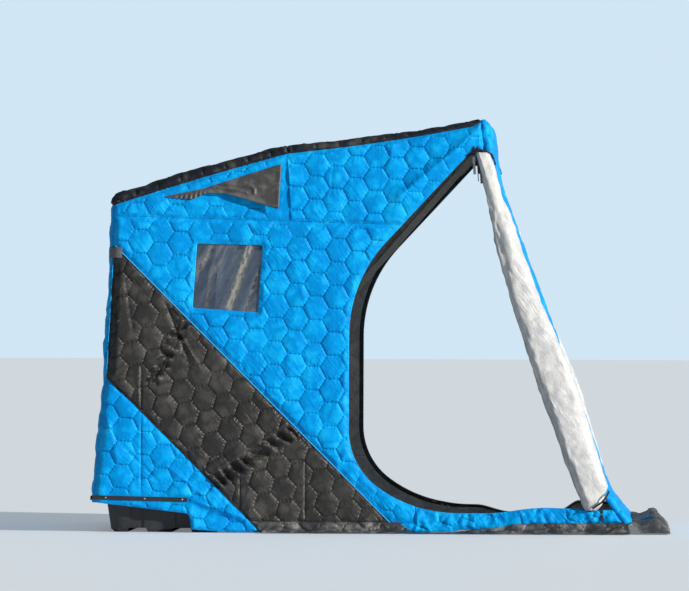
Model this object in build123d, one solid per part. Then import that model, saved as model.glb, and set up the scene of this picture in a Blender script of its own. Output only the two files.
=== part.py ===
from build123d import *
import math
import os

# Ice fishing hut: quilted flip-over shelter whose hem is clamped to a moulded sled.
# +X is the front, -Y the right-hand side, +Z up; the origin is at the centre of the footprint on the ice.

# Side outline of the sewn shelter, outer face of the fabric, as (x, z)
half_width = 850
fabric = 6
rear_hem = (-1429, -65)
rear_bend = (-1338, 740)
rear_top = (-1307, 1640)
roof_bend = (-458, 1880)
peak = (519, 2016)
front_bend = (562, 1713)
front_low = (1114, 202)
front_hem = (1218, 62)
corner_radius = 32
rear_top_radius = 45
peak_radius = 50
bend_radius = 300

# Seams of the sewn panels
hem_height = 52
flap_height = 146
roof_band_rear = 50
roof_band_mid = 40
roof_band_front = 28
roof_end = 482
rear_seam_inset = 15
front_seam_inset = 42
seam_rear_drop = 105
seam_front_drop = 375
stripe_top_drop = 238
stripe_width = 650
sill_start = 170
flap_tip_low = (-916, 16)
flap_tip_high = (-926, 92)
flap_tip_radius = 30
flap_turn = 150
flap_lift = 3

# Side door, window and vent
door_top = (444, 1863)
door_rear = -152
door_bend_height = 1222
door_bend_radius = 665
door_bottom = 101
door_back_rise = 228
door_back_run = 310
door_back_radius = 338
door_low_radius = 640
sill_dip = 560
sill_crest = 764
sill_hump = 30
sill_radius = 800
zip_width = 21
zip_lap = 5
zip_thick = 3
window_width = 316
window_height = 318
window_centre = (-744, 1240)
window_lean = 20
window_sag = 11
window_lap = 12
window_radius = 8
vinyl = 1.5
vent_tip = (-1050, 1634)
vent_top = (-483, 1789)
vent_low = (-494, 1568)
vent_stand = 75
vent_cloth = (-4, 4, -8)

# Rolled door: distance down the front edge, width and thickness of the bundle
roll_sections = [
    (1822, 507, 70, 36),
    (1594, 572, 101, 50),
    (1200, 692, 150, 66),
    (848, 819, 188, 72),
    (442, 957, 174, 70),
    (254, 1022, 150, 60),
    (150, 1046, 96, 40),
]
roll_gap = 0.6
roll_sides = 20

# Skirt lying on the ice
skirt_start = -575
side_skirt_section = [
    (0, 52),
    (12, 30),
    (40, 6),
    (80, 6),
    (80, 0),
    (37, 0),
    (5, 26),
    (-6, 46),
    (-6, 52),
]
front_skirt_section = [
    (-6, 52),
    (0, 52),
    (45, 50),
    (112, 76),
    (146, 50),
    (192, 6),
    (192, 0),
    (180, 0),
    (140, 42),
    (112, 67),
    (48, 42),
    (-6, 44),
]

# Moulded sled
sled_height = 200
rim_width = 50
rim_drop = 42
sled_wall = 5
sled_draft = 28
sled_front = -540
groove_height = 20
groove_width = 100
inner_foot_width = 117
groove_side = 8
tub_corner_radius = 70
rim_corner_radius = 60
bottom_edge_bevel = 16
flute_width = 66
flute_depth = 8
flute_height = 120
batten_height = 20
batten_thick = 6
batten_length = 463
batten_tilt = 1.25
batten_drop = 34
batten_inset = 6
batten_rise = 4
rear_batten_thick = 7

# Frame of square tube hoops
tube = 30
tube_wall = 2
tube_gap = 4
pin_radius = 5
bracket_thick = 6
elbow_reach = 40
elbow_clearance = 0.3
elbow_bevel = 9
arm_tail = 20
pin_head_width = 14
pin_head = 2.5
bracket_margin = 30
bracket_radius = 18
bracket_crest = (20, 24)
bracket_shoulder = 10
base_block = (70, 60, 40)
hoops = {
    "rear": ((-1072, 312), (-1268, 1606)),
    "mid": ((-1010, 345), (-463, 1842)),
    "front": ((-950, 322), (484, 1960)),
    "base": ((-700, 48), (1168, 27)),
}

# Zip pulls and webbing tabs
slider_size = (16, 9, 22)
pull_rise = 14
pull_drop = 8
pull_offset = 3
pull_tabs = [(6, 90), (24, 112)]
pull_tab_size = (12, 3)
toggle_x = 1075
toggle_size = (12, 8, 46)
tab_low = 1333
tab_high = 1385
tab_end = -1259
tab_thick = 2.5

# Reach of the cutting prisms, beyond every piece
pad = 2500


def outline(points, radii):
    """Closed face in the XZ plane; a radius of 0 leaves a corner sharp."""
    path = FilletPolyline(*points, radius=radii, close=True)
    return make_face(Plane.XZ * path)


def polygon(*points):
    return make_face(Plane.XZ * Polyline(*points, close=True))


def prism(face, y_low, y_high):
    """Extrude an XZ face so that it fills the space between two Y values."""
    solid = extrude(face, amount=y_high - y_low, dir=(0, 1, 0))
    return Pos(0, y_low, 0) * solid


def between(points, height):
    """X of a broken line at a height; the points run from bottom to top."""
    for (x0, z0), (x1, z1) in zip(points, points[1:]):
        if height <= z1:
            break
    return x0 + (x1 - x0) * (height - z0) / (z1 - z0)


def rear_x(height):
    return between([rear_hem, rear_bend, rear_top], height)


def front_x(height):
    return between([front_hem, front_low, front_bend, peak], height)


def roof_z(x):
    if x < roof_bend[0]:
        low, high = rear_top, roof_bend
    else:
        low, high = roof_bend, peak
    return low[1] + (high[1] - low[1]) * (x - low[0]) / (high[0] - low[0])


def seam_z(x):
    """Height of the long seam that joins the upper and main panels."""
    rear_height = rear_top[1] - seam_rear_drop
    front_height = door_top[1] - seam_front_drop
    run = (x - rear_top[0]) / (door_top[0] - rear_top[0])
    return rear_height + (front_height - rear_height) * run


def both_sides(right_solid):
    return {"right": right_solid, "left": mirror(right_solid, about=Plane.XZ)}


parts = {}


def keep(name, shape):
    parts[name] = shape


# Sewn shell of the shelter
def envelope(inset):
    """Solid inside the fabric's outer face, shrunk by inset on every side."""
    floor_z = rear_hem[1]
    corners = [rear_hem, rear_bend, rear_top, roof_bend, peak, front_bend, front_low, front_hem]
    corners.append((front_hem[0], floor_z))
    radii = [0, bend_radius, rear_top_radius, bend_radius, peak_radius, bend_radius]
    radii += [corner_radius * 3, corner_radius, 0]
    face = outline(corners, radii)
    if inset:
        face = offset(face, amount=-inset, kind=Kind.INTERSECTION)
    half = half_width - inset
    solid = prism(face, -half, half)
    side_edges = ShapeList()
    for y in (-half, half):
        side_edges += solid.edges().filter_by_position(Axis.Y, y, y)
    lowest = solid.bounding_box().min.Z
    side_edges = [edge for edge in side_edges if edge.center().Z > lowest + 1]
    return fillet(side_edges, radius=corner_radius - inset)


outer = envelope(0)
shell = outer - envelope(fabric)


# Side door: straight zip up the front hoop, round back and a sill with a low hump
def door_face(grow):
    corners = [
        door_top,
        (door_rear, door_bend_height),
        (door_rear, door_bottom + door_back_rise),
        (door_rear + door_back_run, door_bottom),
        (sill_dip, door_bottom),
        (sill_crest, door_bottom + sill_hump),
        (front_x(door_bottom), door_bottom + sill_hump / 2),
        (front_x(door_top[1]), door_top[1] - 20),
    ]
    radii = [0, door_bend_radius, door_back_radius, door_low_radius, sill_radius, sill_radius, 0, 0]
    face = outline(corners, radii)
    if grow:
        face = offset(face, amount=grow)
    return face


door = door_face(0)


# Zones that the seams cut out of the shell
seam_rear_height = rear_top[1] - seam_rear_drop
seam_front_height = door_top[1] - seam_front_drop
stripe_rear_top = rear_top[1] - stripe_top_drop
stripe_rear_low = stripe_rear_top - stripe_width
rear_edge = [(rear_x(z) + rear_seam_inset, z) for z in (flap_height, rear_bend[1])]
roof_low_rear = rear_top[1] - roof_band_rear
band_mid = (roof_bend[0], roof_bend[1] - roof_band_mid)
band_front = (door_top[0], roof_z(door_top[0]) - roof_band_front)
band_tip = (roof_end, roof_z(roof_end) - roof_band_front / 2)
band_rear = (rear_x(roof_low_rear) + rear_seam_inset, roof_low_rear)
hinge_top = (front_bend[0] - front_seam_inset, front_bend[1])
hinge_mid = (front_low[0] - front_seam_inset, front_low[1])
hinge_low = (front_hem[0] - front_seam_inset, hem_height)
high = peak[1] + pad

rear_zone = polygon(
    (-pad, flap_height),
    *rear_edge,
    band_rear,
    (-pad, roof_low_rear),
)
roof_rear_zone = polygon(
    (-pad, roof_low_rear),
    band_rear,
    band_mid,
    (roof_bend[0], high),
    (-pad, high),
)
roof_front_zone = polygon(band_mid, band_front, band_tip, (roof_end, high), (roof_bend[0], high))
front_zone = polygon(
    band_tip,
    hinge_top,
    hinge_mid,
    hinge_low,
    (pad, hem_height),
    (pad, high),
    (roof_end, high),
)

seam_rear = (rear_x(seam_rear_height) + rear_seam_inset, seam_rear_height)
seam_front = (door_top[0], seam_z(door_top[0]))
seam_end = (front_x(seam_front_height) - front_seam_inset, seam_front_height)
stripe_top = (rear_x(stripe_rear_top) + rear_seam_inset, stripe_rear_top)
stripe_top_low = (stripe_top[0] + stripe_rear_top - hem_height, hem_height)
stripe_low = (rear_x(stripe_rear_low) + rear_seam_inset, stripe_rear_low)
stripe_low_end = (stripe_low[0] + stripe_rear_low, 0)
stripe_low_hem = (stripe_low_end[0] - hem_height, hem_height)

upper_zone = polygon(seam_rear, seam_front, seam_end, hinge_top, band_tip, band_front, band_mid, band_rear)
main_zone = polygon(
    stripe_top,
    stripe_top_low,
    (sill_start, hem_height),
    (sill_start, front_low[1]),
    seam_front,
    seam_rear,
)
stripe_zone = polygon(stripe_top, stripe_low, stripe_low_hem, stripe_top_low)
sill_zone = polygon(
    (sill_start, hem_height),
    hinge_low,
    hinge_mid,
    (hinge_mid[0], front_low[1] + 1),
    (sill_start, front_low[1] + 1),
)
gusset_zone = outline(
    [
        stripe_low,
        (stripe_low_end[0] - flap_lift, flap_lift),
        (stripe_low_end[0] - flap_turn, flap_lift),
        flap_tip_low,
        flap_tip_high,
        *rear_edge,
    ],
    [0, 0, 0, 0, flap_tip_radius, 0, 0],
)

keep("roof_rear_panel", shell & prism(roof_rear_zone, -pad, pad))
keep("roof_front_panel", shell & prism(roof_front_zone, -pad, pad))
keep("rear_wall", shell & prism(rear_zone, -pad, pad))
keep("front_wall", shell & prism(front_zone, -pad, pad))


def side_panel(zone, cut=None):
    panel = shell & prism(zone, -pad, 0)
    if cut:
        panel -= prism(cut, -pad, 0)
    return panel


# Clear window sewn behind its cut-out
def window_face(grow):
    cx, cz = window_centre
    w, h, lean = window_width / 2, window_height / 2, window_lean / 2
    face = outline(
        [
            (cx - w - lean, cz - h + window_sag),
            (cx + w - lean, cz - h - window_sag),
            (cx + w + lean, cz + h - window_sag / 4),
            (cx - w + lean, cz + h + window_sag / 4),
        ],
        [window_radius] * 4,
    )
    if grow:
        face = offset(face, amount=grow)
    return face


panels = {
    "upper_panel": side_panel(upper_zone, door),
    "main_panel": side_panel(main_zone, door) - prism(window_face(0), -pad, 0),
    "stripe_panel": side_panel(stripe_zone),
    "lower_panel": side_panel(gusset_zone),
    "sill_panel": side_panel(sill_zone, door),
}
inner_face = -half_width + fabric
panels["window"] = prism(window_face(window_lap), inner_face, inner_face + vinyl)

# Zip tape sewn round the inside of the doorway
tape = prism(door_face(zip_width - zip_lap), inner_face, inner_face + zip_thick)
tape -= prism(door_face(-zip_lap), -half_width, 0)
panels["door_zip"] = tape - prism(front_zone, -half_width, 0)


# Vent hood: a flap and a gusset held off the wall, open below
def triangle_solid(a, b, c, d):
    faces = [
        make_face(Polyline(a, b, c, close=True)),
        make_face(Polyline(a, b, d, close=True)),
        make_face(Polyline(b, c, d, close=True)),
        make_face(Polyline(a, c, d, close=True)),
    ]
    return Solid(Shell(faces))


def vent_hood():
    a = (vent_tip[0], -half_width, vent_tip[1])
    b = (vent_top[0], -half_width, vent_top[1])
    c = (vent_low[0], -half_width, vent_low[1])
    d = (vent_low[0], -half_width - vent_stand, vent_low[1] + 4)
    wedge = triangle_solid(a, b, c, d)
    hollow = Pos(*vent_cloth) * triangle_solid(a, b, c, d)
    return wedge - hollow


panels["vent_hood"] = vent_hood()


# Door rolled forward onto its hinge seam
def door_roll():
    faces = []
    turns = [2 * math.pi * k / roll_sides for k in range(roll_sides)]
    for height, x, width, thick in roll_sections:
        y = -half_width - roll_gap - thick / 2
        ring = [(x + width / 2 * math.cos(t), y + thick / 2 * math.sin(t), height) for t in turns]
        faces.append(make_face(Polyline(*ring, close=True)))
    return loft(faces, ruled=True)


panels["door_roll"] = door_roll()


# Skirt on the ice
def side_skirt():
    points = [(-half_width - reach, z) for reach, z in side_skirt_section]
    section = make_face(Plane.YZ * Polyline(*points, close=True))
    length = front_hem[0] - fabric - skirt_start
    return Pos(skirt_start, 0, 0) * extrude(section, amount=length, dir=(1, 0, 0))


panels["skirt"] = side_skirt()

for piece, right_solid in panels.items():
    for side, solid in both_sides(right_solid).items():
        keep(f"{side}_{piece}", solid)

front_skirt_face = polygon(*[(front_hem[0] + x, z) for x, z in front_skirt_section])
skirt_reach = max(reach for reach, z in side_skirt_section)
skirt_half = half_width + skirt_reach - 5
keep("front_skirt", prism(front_skirt_face, -skirt_half, skirt_half))

# Moulded sled with a turned-down rim, runner feet and flutes that continue up its ends
rim_rear = rear_x(sled_height) + fabric + 0.2
rim_length = sled_front - rim_rear
rim_half = half_width - fabric
sled_x = (sled_front + rim_rear) / 2


def tub_block(inset, low, high_z):
    """Drafted block with a bevelled foot: the tub's outside, or its inside with an inset."""
    faces = []
    for z, bevel in ((low, bottom_edge_bevel), (low + bottom_edge_bevel, 0), (high_z, 0)):
        grow = sled_draft * (z - sled_height) / sled_height - inset - bevel
        length = rim_length - 2 * rim_width + 2 * grow
        width = 2 * (rim_half - rim_width + grow)
        section = RectangleRounded(length, width, tub_corner_radius - inset - bevel)
        faces.append(Pos(sled_x, 0, z) * section)
    return loft(faces, ruled=True)


def groove_profile(extra):
    """Trapezoid between two runner feet, drawn in the XZ plane about x = 0."""
    w = groove_width / 2 + extra
    h = groove_height + extra
    top = w - groove_side
    return [(-w, -pad), (-w, 0), (-top, h), (top, h), (w, 0), (w, -pad)]


def groove_centres():
    step = inner_foot_width + groove_width
    return [sled_x - step, sled_x, sled_x + step]


def grooves(extra):
    solids = []
    for x in groove_centres():
        bar = prism(polygon(*groove_profile(extra)), -half_width, half_width)
        solids.append(Pos(x, 0, 0) * bar)
    return solids


def end_flutes(extra):
    """Shallow upright channels in both end walls, in line with the grooves below."""
    foot_y = rim_half - rim_width - sled_draft - flute_depth - extra
    top_y = foot_y + sled_draft * flute_height / sled_height
    points = [(-foot_y, 0), (-top_y, flute_height + extra), (-half_width, flute_height), (-half_width, 0)]
    section = make_face(Plane.YZ * Polyline(*points, close=True))
    width = flute_width + 2 * extra
    solids = []
    for x in groove_centres():
        flute = Pos(x - width / 2, 0, 0) * extrude(section, amount=width, dir=(1, 0, 0))
        solids += list(both_sides(flute).values())
    return solids


def sled_tub():
    body = tub_block(0, 0, sled_height)
    hollow = tub_block(sled_wall, sled_wall, sled_height + sled_wall)
    for channel in grooves(sled_wall) + end_flutes(sled_wall):
        hollow -= channel
    rim_place = Pos(sled_x, 0, sled_height - rim_drop)
    rim_face = RectangleRounded(rim_length, 2 * rim_half, rim_corner_radius)
    inner_length = rim_length - 2 * sled_wall
    inner_width = 2 * (rim_half - sled_wall)
    inner_rim_face = RectangleRounded(inner_length, inner_width, rim_corner_radius - sled_wall)
    rim = rim_place * extrude(rim_face, amount=rim_drop)
    rim -= rim_place * extrude(inner_rim_face, amount=rim_drop - sled_wall)
    tub = body + rim
    for channel in grooves(0) + end_flutes(0):
        tub -= channel
    return tub - hollow


keep("sled_tub", sled_tub())

# Battens that clamp the hem to the rim
batten_z = sled_height - batten_drop
right_batten = Rot(0, batten_tilt, 0) * Box(
    batten_length, batten_thick, batten_height, align=(Align.MIN, Align.MAX, Align.CENTER)
)
right_batten = Pos(rear_x(batten_z) + batten_inset, -half_width, batten_z + batten_rise) * right_batten
for side, solid in both_sides(right_batten).items():
    keep(f"{side}_batten", solid)

rear_lean = math.degrees(math.atan2(rear_bend[0] - rear_hem[0], rear_bend[1] - rear_hem[1]))
rear_batten = Box(
    rear_batten_thick,
    2 * (half_width - corner_radius),
    batten_height,
    align=(Align.MAX, Align.CENTER, Align.CENTER),
)
keep("rear_batten", Pos(rear_x(batten_z), 0, batten_z) * Rot(0, rear_lean, 0) * rear_batten)

# Hoops: two arms and a crossbar of square tube, joined by elbows with spigots
arm_y = half_width - fabric - tube_gap - tube / 2


def square_tube(length):
    outside = Rectangle(tube, tube)
    inside = Rectangle(tube - 2 * tube_wall, tube - 2 * tube_wall)
    return extrude(outside - inside, amount=length)


def hoop_frame(foot, top):
    """Location that puts local z along the arm, with the pivot at its origin."""
    lean = math.degrees(math.atan2(top[0] - foot[0], top[1] - foot[1]))
    return Pos(foot[0], 0, foot[1]) * Rot(0, lean, 0)


def arm(length):
    bar = Pos(0, -arm_y, -arm_tail) * square_tube(length - tube / 2 + arm_tail)
    hole = Pos(0, -arm_y, 0) * Rot(90, 0, 0) * Cylinder(pin_radius + elbow_clearance, 2 * tube)
    return bar - hole


def elbow(length):
    spigot = tube - 2 * tube_wall - 2 * elbow_clearance
    block = Pos(0, -arm_y, length) * Box(tube, tube, tube)
    outer_edge = block.edges().filter_by(Axis.X).sort_by(lambda e: e.center().Z - e.center().Y)[-1]
    block = chamfer(outer_edge, length=elbow_bevel)
    leg = Box(spigot, spigot, elbow_reach, align=(Align.CENTER, Align.CENTER, Align.MAX))
    reach = Box(spigot, elbow_reach, spigot, align=(Align.CENTER, Align.MIN, Align.CENTER))
    leg = Pos(0, -arm_y, length - tube / 2) * leg
    reach = Pos(0, -arm_y + tube / 2, length) * reach
    return block + leg + reach


elbows = []
for name, (foot, top) in hoops.items():
    place = hoop_frame(foot, top)
    length = math.dist(foot, top)
    for side, solid in both_sides(place * arm(length)).items():
        keep(f"{name}_hoop_{side}_arm", solid)
    span = 2 * (arm_y - tube / 2)
    bar = Pos(0, span / 2, length) * Rot(90, 0, 0) * square_tube(span)
    keep(f"{name}_hoop_crossbar", place * bar)
    elbows += list(both_sides(place * elbow(length)).values())
keep("hoop_elbows", Compound(children=elbows))


# Brackets that carry the hoops: one on each side rim, one low on each side of the tub
def pivot_pin(foot, inner_y):
    reach = inner_y + arm_y + tube / 2
    head = extrude(RegularPolygon(pin_head_width / 2, 6, major_radius=False), amount=pin_head)
    shaft = Cylinder(pin_radius, reach, align=(Align.CENTER, Align.CENTER, Align.MIN))
    pin = shaft + Pos(0, 0, reach) * head
    return Pos(foot[0], inner_y, foot[1]) * Rot(90, 0, 0) * pin


def pivot_bracket():
    plate_y = -arm_y + tube / 2
    feet = [hoops[name][0] for name in ("rear", "mid", "front")]
    low_x = feet[0][0] - bracket_margin
    high_x = feet[2][0] + bracket_margin
    crest_run, crest_rise = bracket_crest
    plate_face = outline(
        [
            (low_x, sled_height),
            (high_x, sled_height),
            (high_x, feet[2][1] + bracket_shoulder),
            (feet[1][0] + crest_run, feet[1][1] + crest_rise),
            (feet[1][0] - crest_run, feet[1][1] + crest_rise),
            (low_x, feet[0][1] + bracket_shoulder),
        ],
        [0, 0, bracket_radius, bracket_radius, bracket_radius, bracket_radius],
    )
    bracket = prism(plate_face, plate_y, plate_y + bracket_thick)
    foot_plate = Box(
        high_x - low_x,
        rim_width - 2 * bracket_thick,
        bracket_thick,
        align=(Align.MIN, Align.MIN, Align.MIN),
    )
    bracket += Pos(low_x, -rim_half + bracket_thick, sled_height) * foot_plate
    for foot in feet:
        bracket += pivot_pin(foot, plate_y + bracket_thick)
    return bracket


def base_bracket():
    plate_y = -arm_y + tube / 2
    foot = hoops["base"][0]
    block = Box(*base_block, align=(Align.CENTER, Align.MIN, Align.CENTER))
    block = Pos(foot[0], plate_y, foot[1]) * block
    block -= tub_block(0, 0, sled_height)
    return block + pivot_pin(foot, plate_y)


for side, solid in both_sides(pivot_bracket()).items():
    keep(f"{side}_pivot_bracket", solid)
for side, solid in both_sides(base_bracket()).items():
    keep(f"{side}_base_bracket", solid)

# Zip pulls on the doorway's top corner and at the foot of the roll
slider = Box(*slider_size, align=(Align.CENTER, Align.MAX, Align.CENTER))


def pull(x, z, size):
    grip = Box(*size, align=(Align.CENTER, Align.MAX, Align.MAX))
    return Pos(x, -half_width, z) * (slider + Pos(0, -pull_offset, -pull_drop) * grip)


pulls = [pull(toggle_x, door_bottom + 4, toggle_size)]
for dx, length in pull_tabs:
    pulls.append(pull(door_top[0] + dx, door_top[1] + pull_rise, (*pull_tab_size, length)))
both_pulls = pulls + [mirror(one, about=Plane.XZ) for one in pulls]
keep("zip_pulls", Compound(children=both_pulls))

# Webbing tabs wrapped round the rear corners
tab_face = polygon(
    (-pad, tab_low),
    (tab_end, tab_low),
    (tab_end, tab_high),
    (-pad, tab_high),
)
tab_band = prism(tab_face, -pad, -half_width + corner_radius)
right_tab = (envelope(-tab_thick) - outer) & tab_band
keep("corner_tabs", Compound(children=list(both_sides(right_tab).values())))

os.makedirs("parts", exist_ok=True)
for name, shape in parts.items():
    export_step(shape, f"parts/{name}.step")
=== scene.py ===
import math

import bpy
import numpy as np
from mathutils import Matrix, Vector
from mathutils.geometry import delaunay_2d_cdt


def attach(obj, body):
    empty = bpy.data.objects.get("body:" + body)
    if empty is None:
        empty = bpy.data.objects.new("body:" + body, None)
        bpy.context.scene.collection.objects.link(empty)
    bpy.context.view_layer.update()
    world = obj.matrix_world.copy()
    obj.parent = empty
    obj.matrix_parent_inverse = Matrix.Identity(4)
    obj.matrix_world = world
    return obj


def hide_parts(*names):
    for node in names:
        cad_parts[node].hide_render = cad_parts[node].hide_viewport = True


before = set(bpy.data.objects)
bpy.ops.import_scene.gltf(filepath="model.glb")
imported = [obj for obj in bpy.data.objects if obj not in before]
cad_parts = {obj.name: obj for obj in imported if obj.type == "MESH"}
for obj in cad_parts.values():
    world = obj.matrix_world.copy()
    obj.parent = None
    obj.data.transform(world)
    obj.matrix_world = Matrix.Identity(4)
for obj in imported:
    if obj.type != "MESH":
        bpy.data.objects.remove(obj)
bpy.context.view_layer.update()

# Sled: one deep tub moulded from black polyethylene. Its rim is turned down all round,
# and it stands on runner feet with channels between them. Its surface is grained and
# scuffed from being dragged over the ice.
def connect(tree, sockets, values):
    """Link each value that is a socket, and set the others as constants."""
    for socket, value in zip(sockets, values):
        if isinstance(value, bpy.types.NodeSocket):
            tree.links.new(value, socket)
        else:
            socket.default_value = (*value, 1) if socket.type == "RGBA" else value


def node(tree, kind, settings=None, **inputs):
    made = tree.nodes.new(kind)
    for key, value in (settings or {}).items():
        setattr(made, key, value)
    connect(tree, [made.inputs[key.replace("_", " ")] for key in inputs], inputs.values())
    return made


def new_material(name, **constants):
    """A material, its tree, its shader with these constants and the object's own coordinates."""
    material = bpy.data.materials.new(name)
    material.use_nodes = True
    tree = material.node_tree
    shader = tree.nodes["Principled BSDF"]
    connect(tree, [shader.inputs[key.replace("_", " ")] for key in constants], constants.values())
    return material, tree, shader, tree.nodes.new("ShaderNodeTexCoord").outputs["Object"]


def speckle(tree, place, scale, detail=3.0, roughness=0.5, stretch=None):
    if stretch:
        place = node(tree, "ShaderNodeMapping", Vector=place, Scale=stretch).outputs[0]
    made = node(tree, "ShaderNodeTexNoise", Vector=place, Scale=scale, Detail=detail, Roughness=roughness)
    return made.outputs["Fac"]


def ramp(tree, factor, stops):
    made = node(tree, "ShaderNodeValToRGB", Fac=factor)
    marks = made.color_ramp.elements
    while len(marks) < len(stops):
        marks.new(0.5)
    for mark, (position, color) in zip(marks, stops):
        mark.position = position
        grey = isinstance(color, (int, float))
        mark.color = (color, color, color, 1) if grey else (*color, 1)
    return made.outputs["Color"]


def sums(tree, operation, a, b=0.0):
    made = node(tree, "ShaderNodeMath", {"operation": operation})
    connect(tree, made.inputs, (a, b))
    return made.outputs[0]


def times(tree, a, b):
    return sums(tree, "MULTIPLY", a, b)


def blend(tree, operation, factor, first, second):
    made = node(tree, "ShaderNodeMixRGB", {"blend_type": operation})
    connect(tree, made.inputs, (factor, first, second))
    return made.outputs[0]


def relief(tree, shader, layers):
    """Stack bump layers of (height socket, depth in metres) under the shader's normal."""
    normal = None
    for height, depth in layers:
        bump = node(tree, "ShaderNodeBump", Height=height, Distance=depth, Strength=1.0)
        if normal:
            tree.links.new(normal, bump.inputs["Normal"])
        normal = bump.outputs[0]
    tree.links.new(normal, shader.inputs["Normal"])


def coat(tree, shader, color, rough=None):
    """Give the shader its colour and, unless that is a constant, its roughness."""
    tree.links.new(color, shader.inputs["Base Color"])
    if rough:
        tree.links.new(rough, shader.inputs["Roughness"])


def moulded_plastic(name, dark, light, gloss):
    material, tree, shader, place = new_material(name)
    wear = speckle(tree, place, 9, 6, 0.65)
    scuffs = speckle(tree, place, 60, 4, 0.7, (1, 0.12, 1))
    mixed = sums(tree, "ADD", times(tree, wear, 0.6), times(tree, scuffs, 0.4))
    color = ramp(tree, mixed, [(0.35, dark), (0.62, light)])
    rough = ramp(tree, mixed, [(0.3, gloss), (0.7, gloss + 0.22)])
    coat(tree, shader, color, rough)
    relief(tree, shader, [(speckle(tree, place, 900, 2), 0.0002), (scuffs, 0.0003)])
    return material


def dress(node_name, material):
    """Give a carried-over CAD node its material."""
    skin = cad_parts[node_name].data.materials
    skin.clear()
    skin.append(material)


sled_plastic = moulded_plastic("sled_plastic", (0.012, 0.013, 0.016), (0.035, 0.037, 0.043), 0.32)
dress("sled_tub", sled_plastic)

# Battens: extruded black strips that clamp the hem of the cloth to the sled's rim, on
# both ends and along the back, each held by round-headed bolts.
batten_plastic = moulded_plastic("batten_plastic", (0.010, 0.011, 0.014), (0.022, 0.024, 0.030), 0.38)
for piece in ("right_batten", "left_batten", "rear_batten"):
    dress(piece, batten_plastic)

mm = 0.001
sides = {"right": -1, "left": 1}


def make_piece(name, points, faces, materials, slot, face_slots=None, smooth=True):
    """Mesh piece from points in millimetres; it rides on the hut's one body."""
    mesh = bpy.data.meshes.new(name)
    mesh.from_pydata((np.asarray(points) * mm).tolist(), [], [list(face) for face in faces])
    for material in materials:
        mesh.materials.append(material)
    if face_slots is not None:
        mesh.polygons.foreach_set("material_index", np.asarray(face_slots, dtype=np.int32))
    mesh.polygons.foreach_set("use_smooth", np.full(len(mesh.polygons), smooth))
    mesh.update()
    piece = bpy.data.objects.new(name, mesh)
    bpy.context.scene.collection.objects.link(piece)
    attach(piece, "root")
    return piece


def mirrored(points, faces):
    flipped = np.array(points, dtype=float)
    flipped[:, 1] *= -1
    return flipped, [tuple(reversed(face)) for face in faces]


def make_pair(name, points, faces, *rest, **options):
    """A right-hand piece and its mirror image."""
    return [make_piece(f"right_{name}", points, faces, *rest, **options),
            make_piece(f"left_{name}", *mirrored(points, faces), *rest, **options)]


def ring_faces(count, around):
    """Four-sided faces between each ring of points and the next."""
    faces = []
    for k in range(count - 1):
        for j in range(around):
            a, b = k * around + j, k * around + (j + 1) % around
            faces.append((a, b, b + around, a + around))
    return faces


def dome(centre, outward, radius, height, rings=5, around=16):
    """Bolt head or button: a dome on a short straight rim."""
    outward = np.array(outward, dtype=float)
    across = np.cross(outward, (0.31, 0.2, 0.93))
    across /= np.linalg.norm(across)
    other = np.cross(outward, across)
    points, rim_height = [], 0.25
    profile = [(radius * 1.04, -0.5), (radius, height * rim_height)]
    for turn in math.pi / 2 * np.arange(1, rings) / rings:
        profile.append((radius * math.cos(turn), height * (rim_height + (1 - rim_height) * math.sin(turn))))
    for r, h in profile:
        for turn in 2 * math.pi * np.arange(around) / around:
            points.append(centre + outward * h + (across * math.cos(turn) + other * math.sin(turn)) * r)
    points.append(centre + outward * height)
    faces = ring_faces(len(profile), around)
    last = (len(profile) - 1) * around
    faces.extend((last + k, last + (k + 1) % around, len(points) - 1) for k in range(around))
    faces.append(tuple(range(around - 1, -1, -1)))
    return points, faces


def gather(groups):
    """Join (points, faces) groups into one set of points and faces."""
    points, faces = [], []
    for more, their_faces in groups:
        start = len(points)
        points.extend(np.asarray(more).tolist())
        faces.extend([tuple(start + k for k in face) for face in their_faces])
    return np.array(points), faces


def batten_line(x):
    """Height of a side batten's middle, which falls towards the front."""
    rear_end, rear_height, fall = -1403, 170, math.tan(math.radians(1.25))
    return rear_height - (x - rear_end) * fall


bolt_steel, tree, shader, place = new_material("bolt_steel", Metallic=1.0, Roughness=0.38)
coat(tree, shader, ramp(tree, speckle(tree, place, 300, 3), [(0.3, 0.22), (0.7, 0.42)]))
bolt_radius, side_bolt_height, rear_bolt_height = 5.5, 3.2, 2.0
batten_face = 856
rear_bolt_x, rear_bolt_z, rear_bolt_pitch = -1409.8, 166.8, 190
heads = []
for sign in sides.values():
    for x in (-1333, -1144, -961):
        centre = np.array((x, sign * batten_face, batten_line(x)))
        heads.append(dome(centre, (0, sign, 0), bolt_radius, side_bolt_height))
for k in range(-4, 5):
    centre = np.array((rear_bolt_x, rear_bolt_pitch * k, rear_bolt_z))
    heads.append(dome(centre, (-0.994, 0, 0.112), bolt_radius, rear_bolt_height))
make_piece("batten_bolts", *gather(heads), [bolt_steel], "zip_metal")

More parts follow.
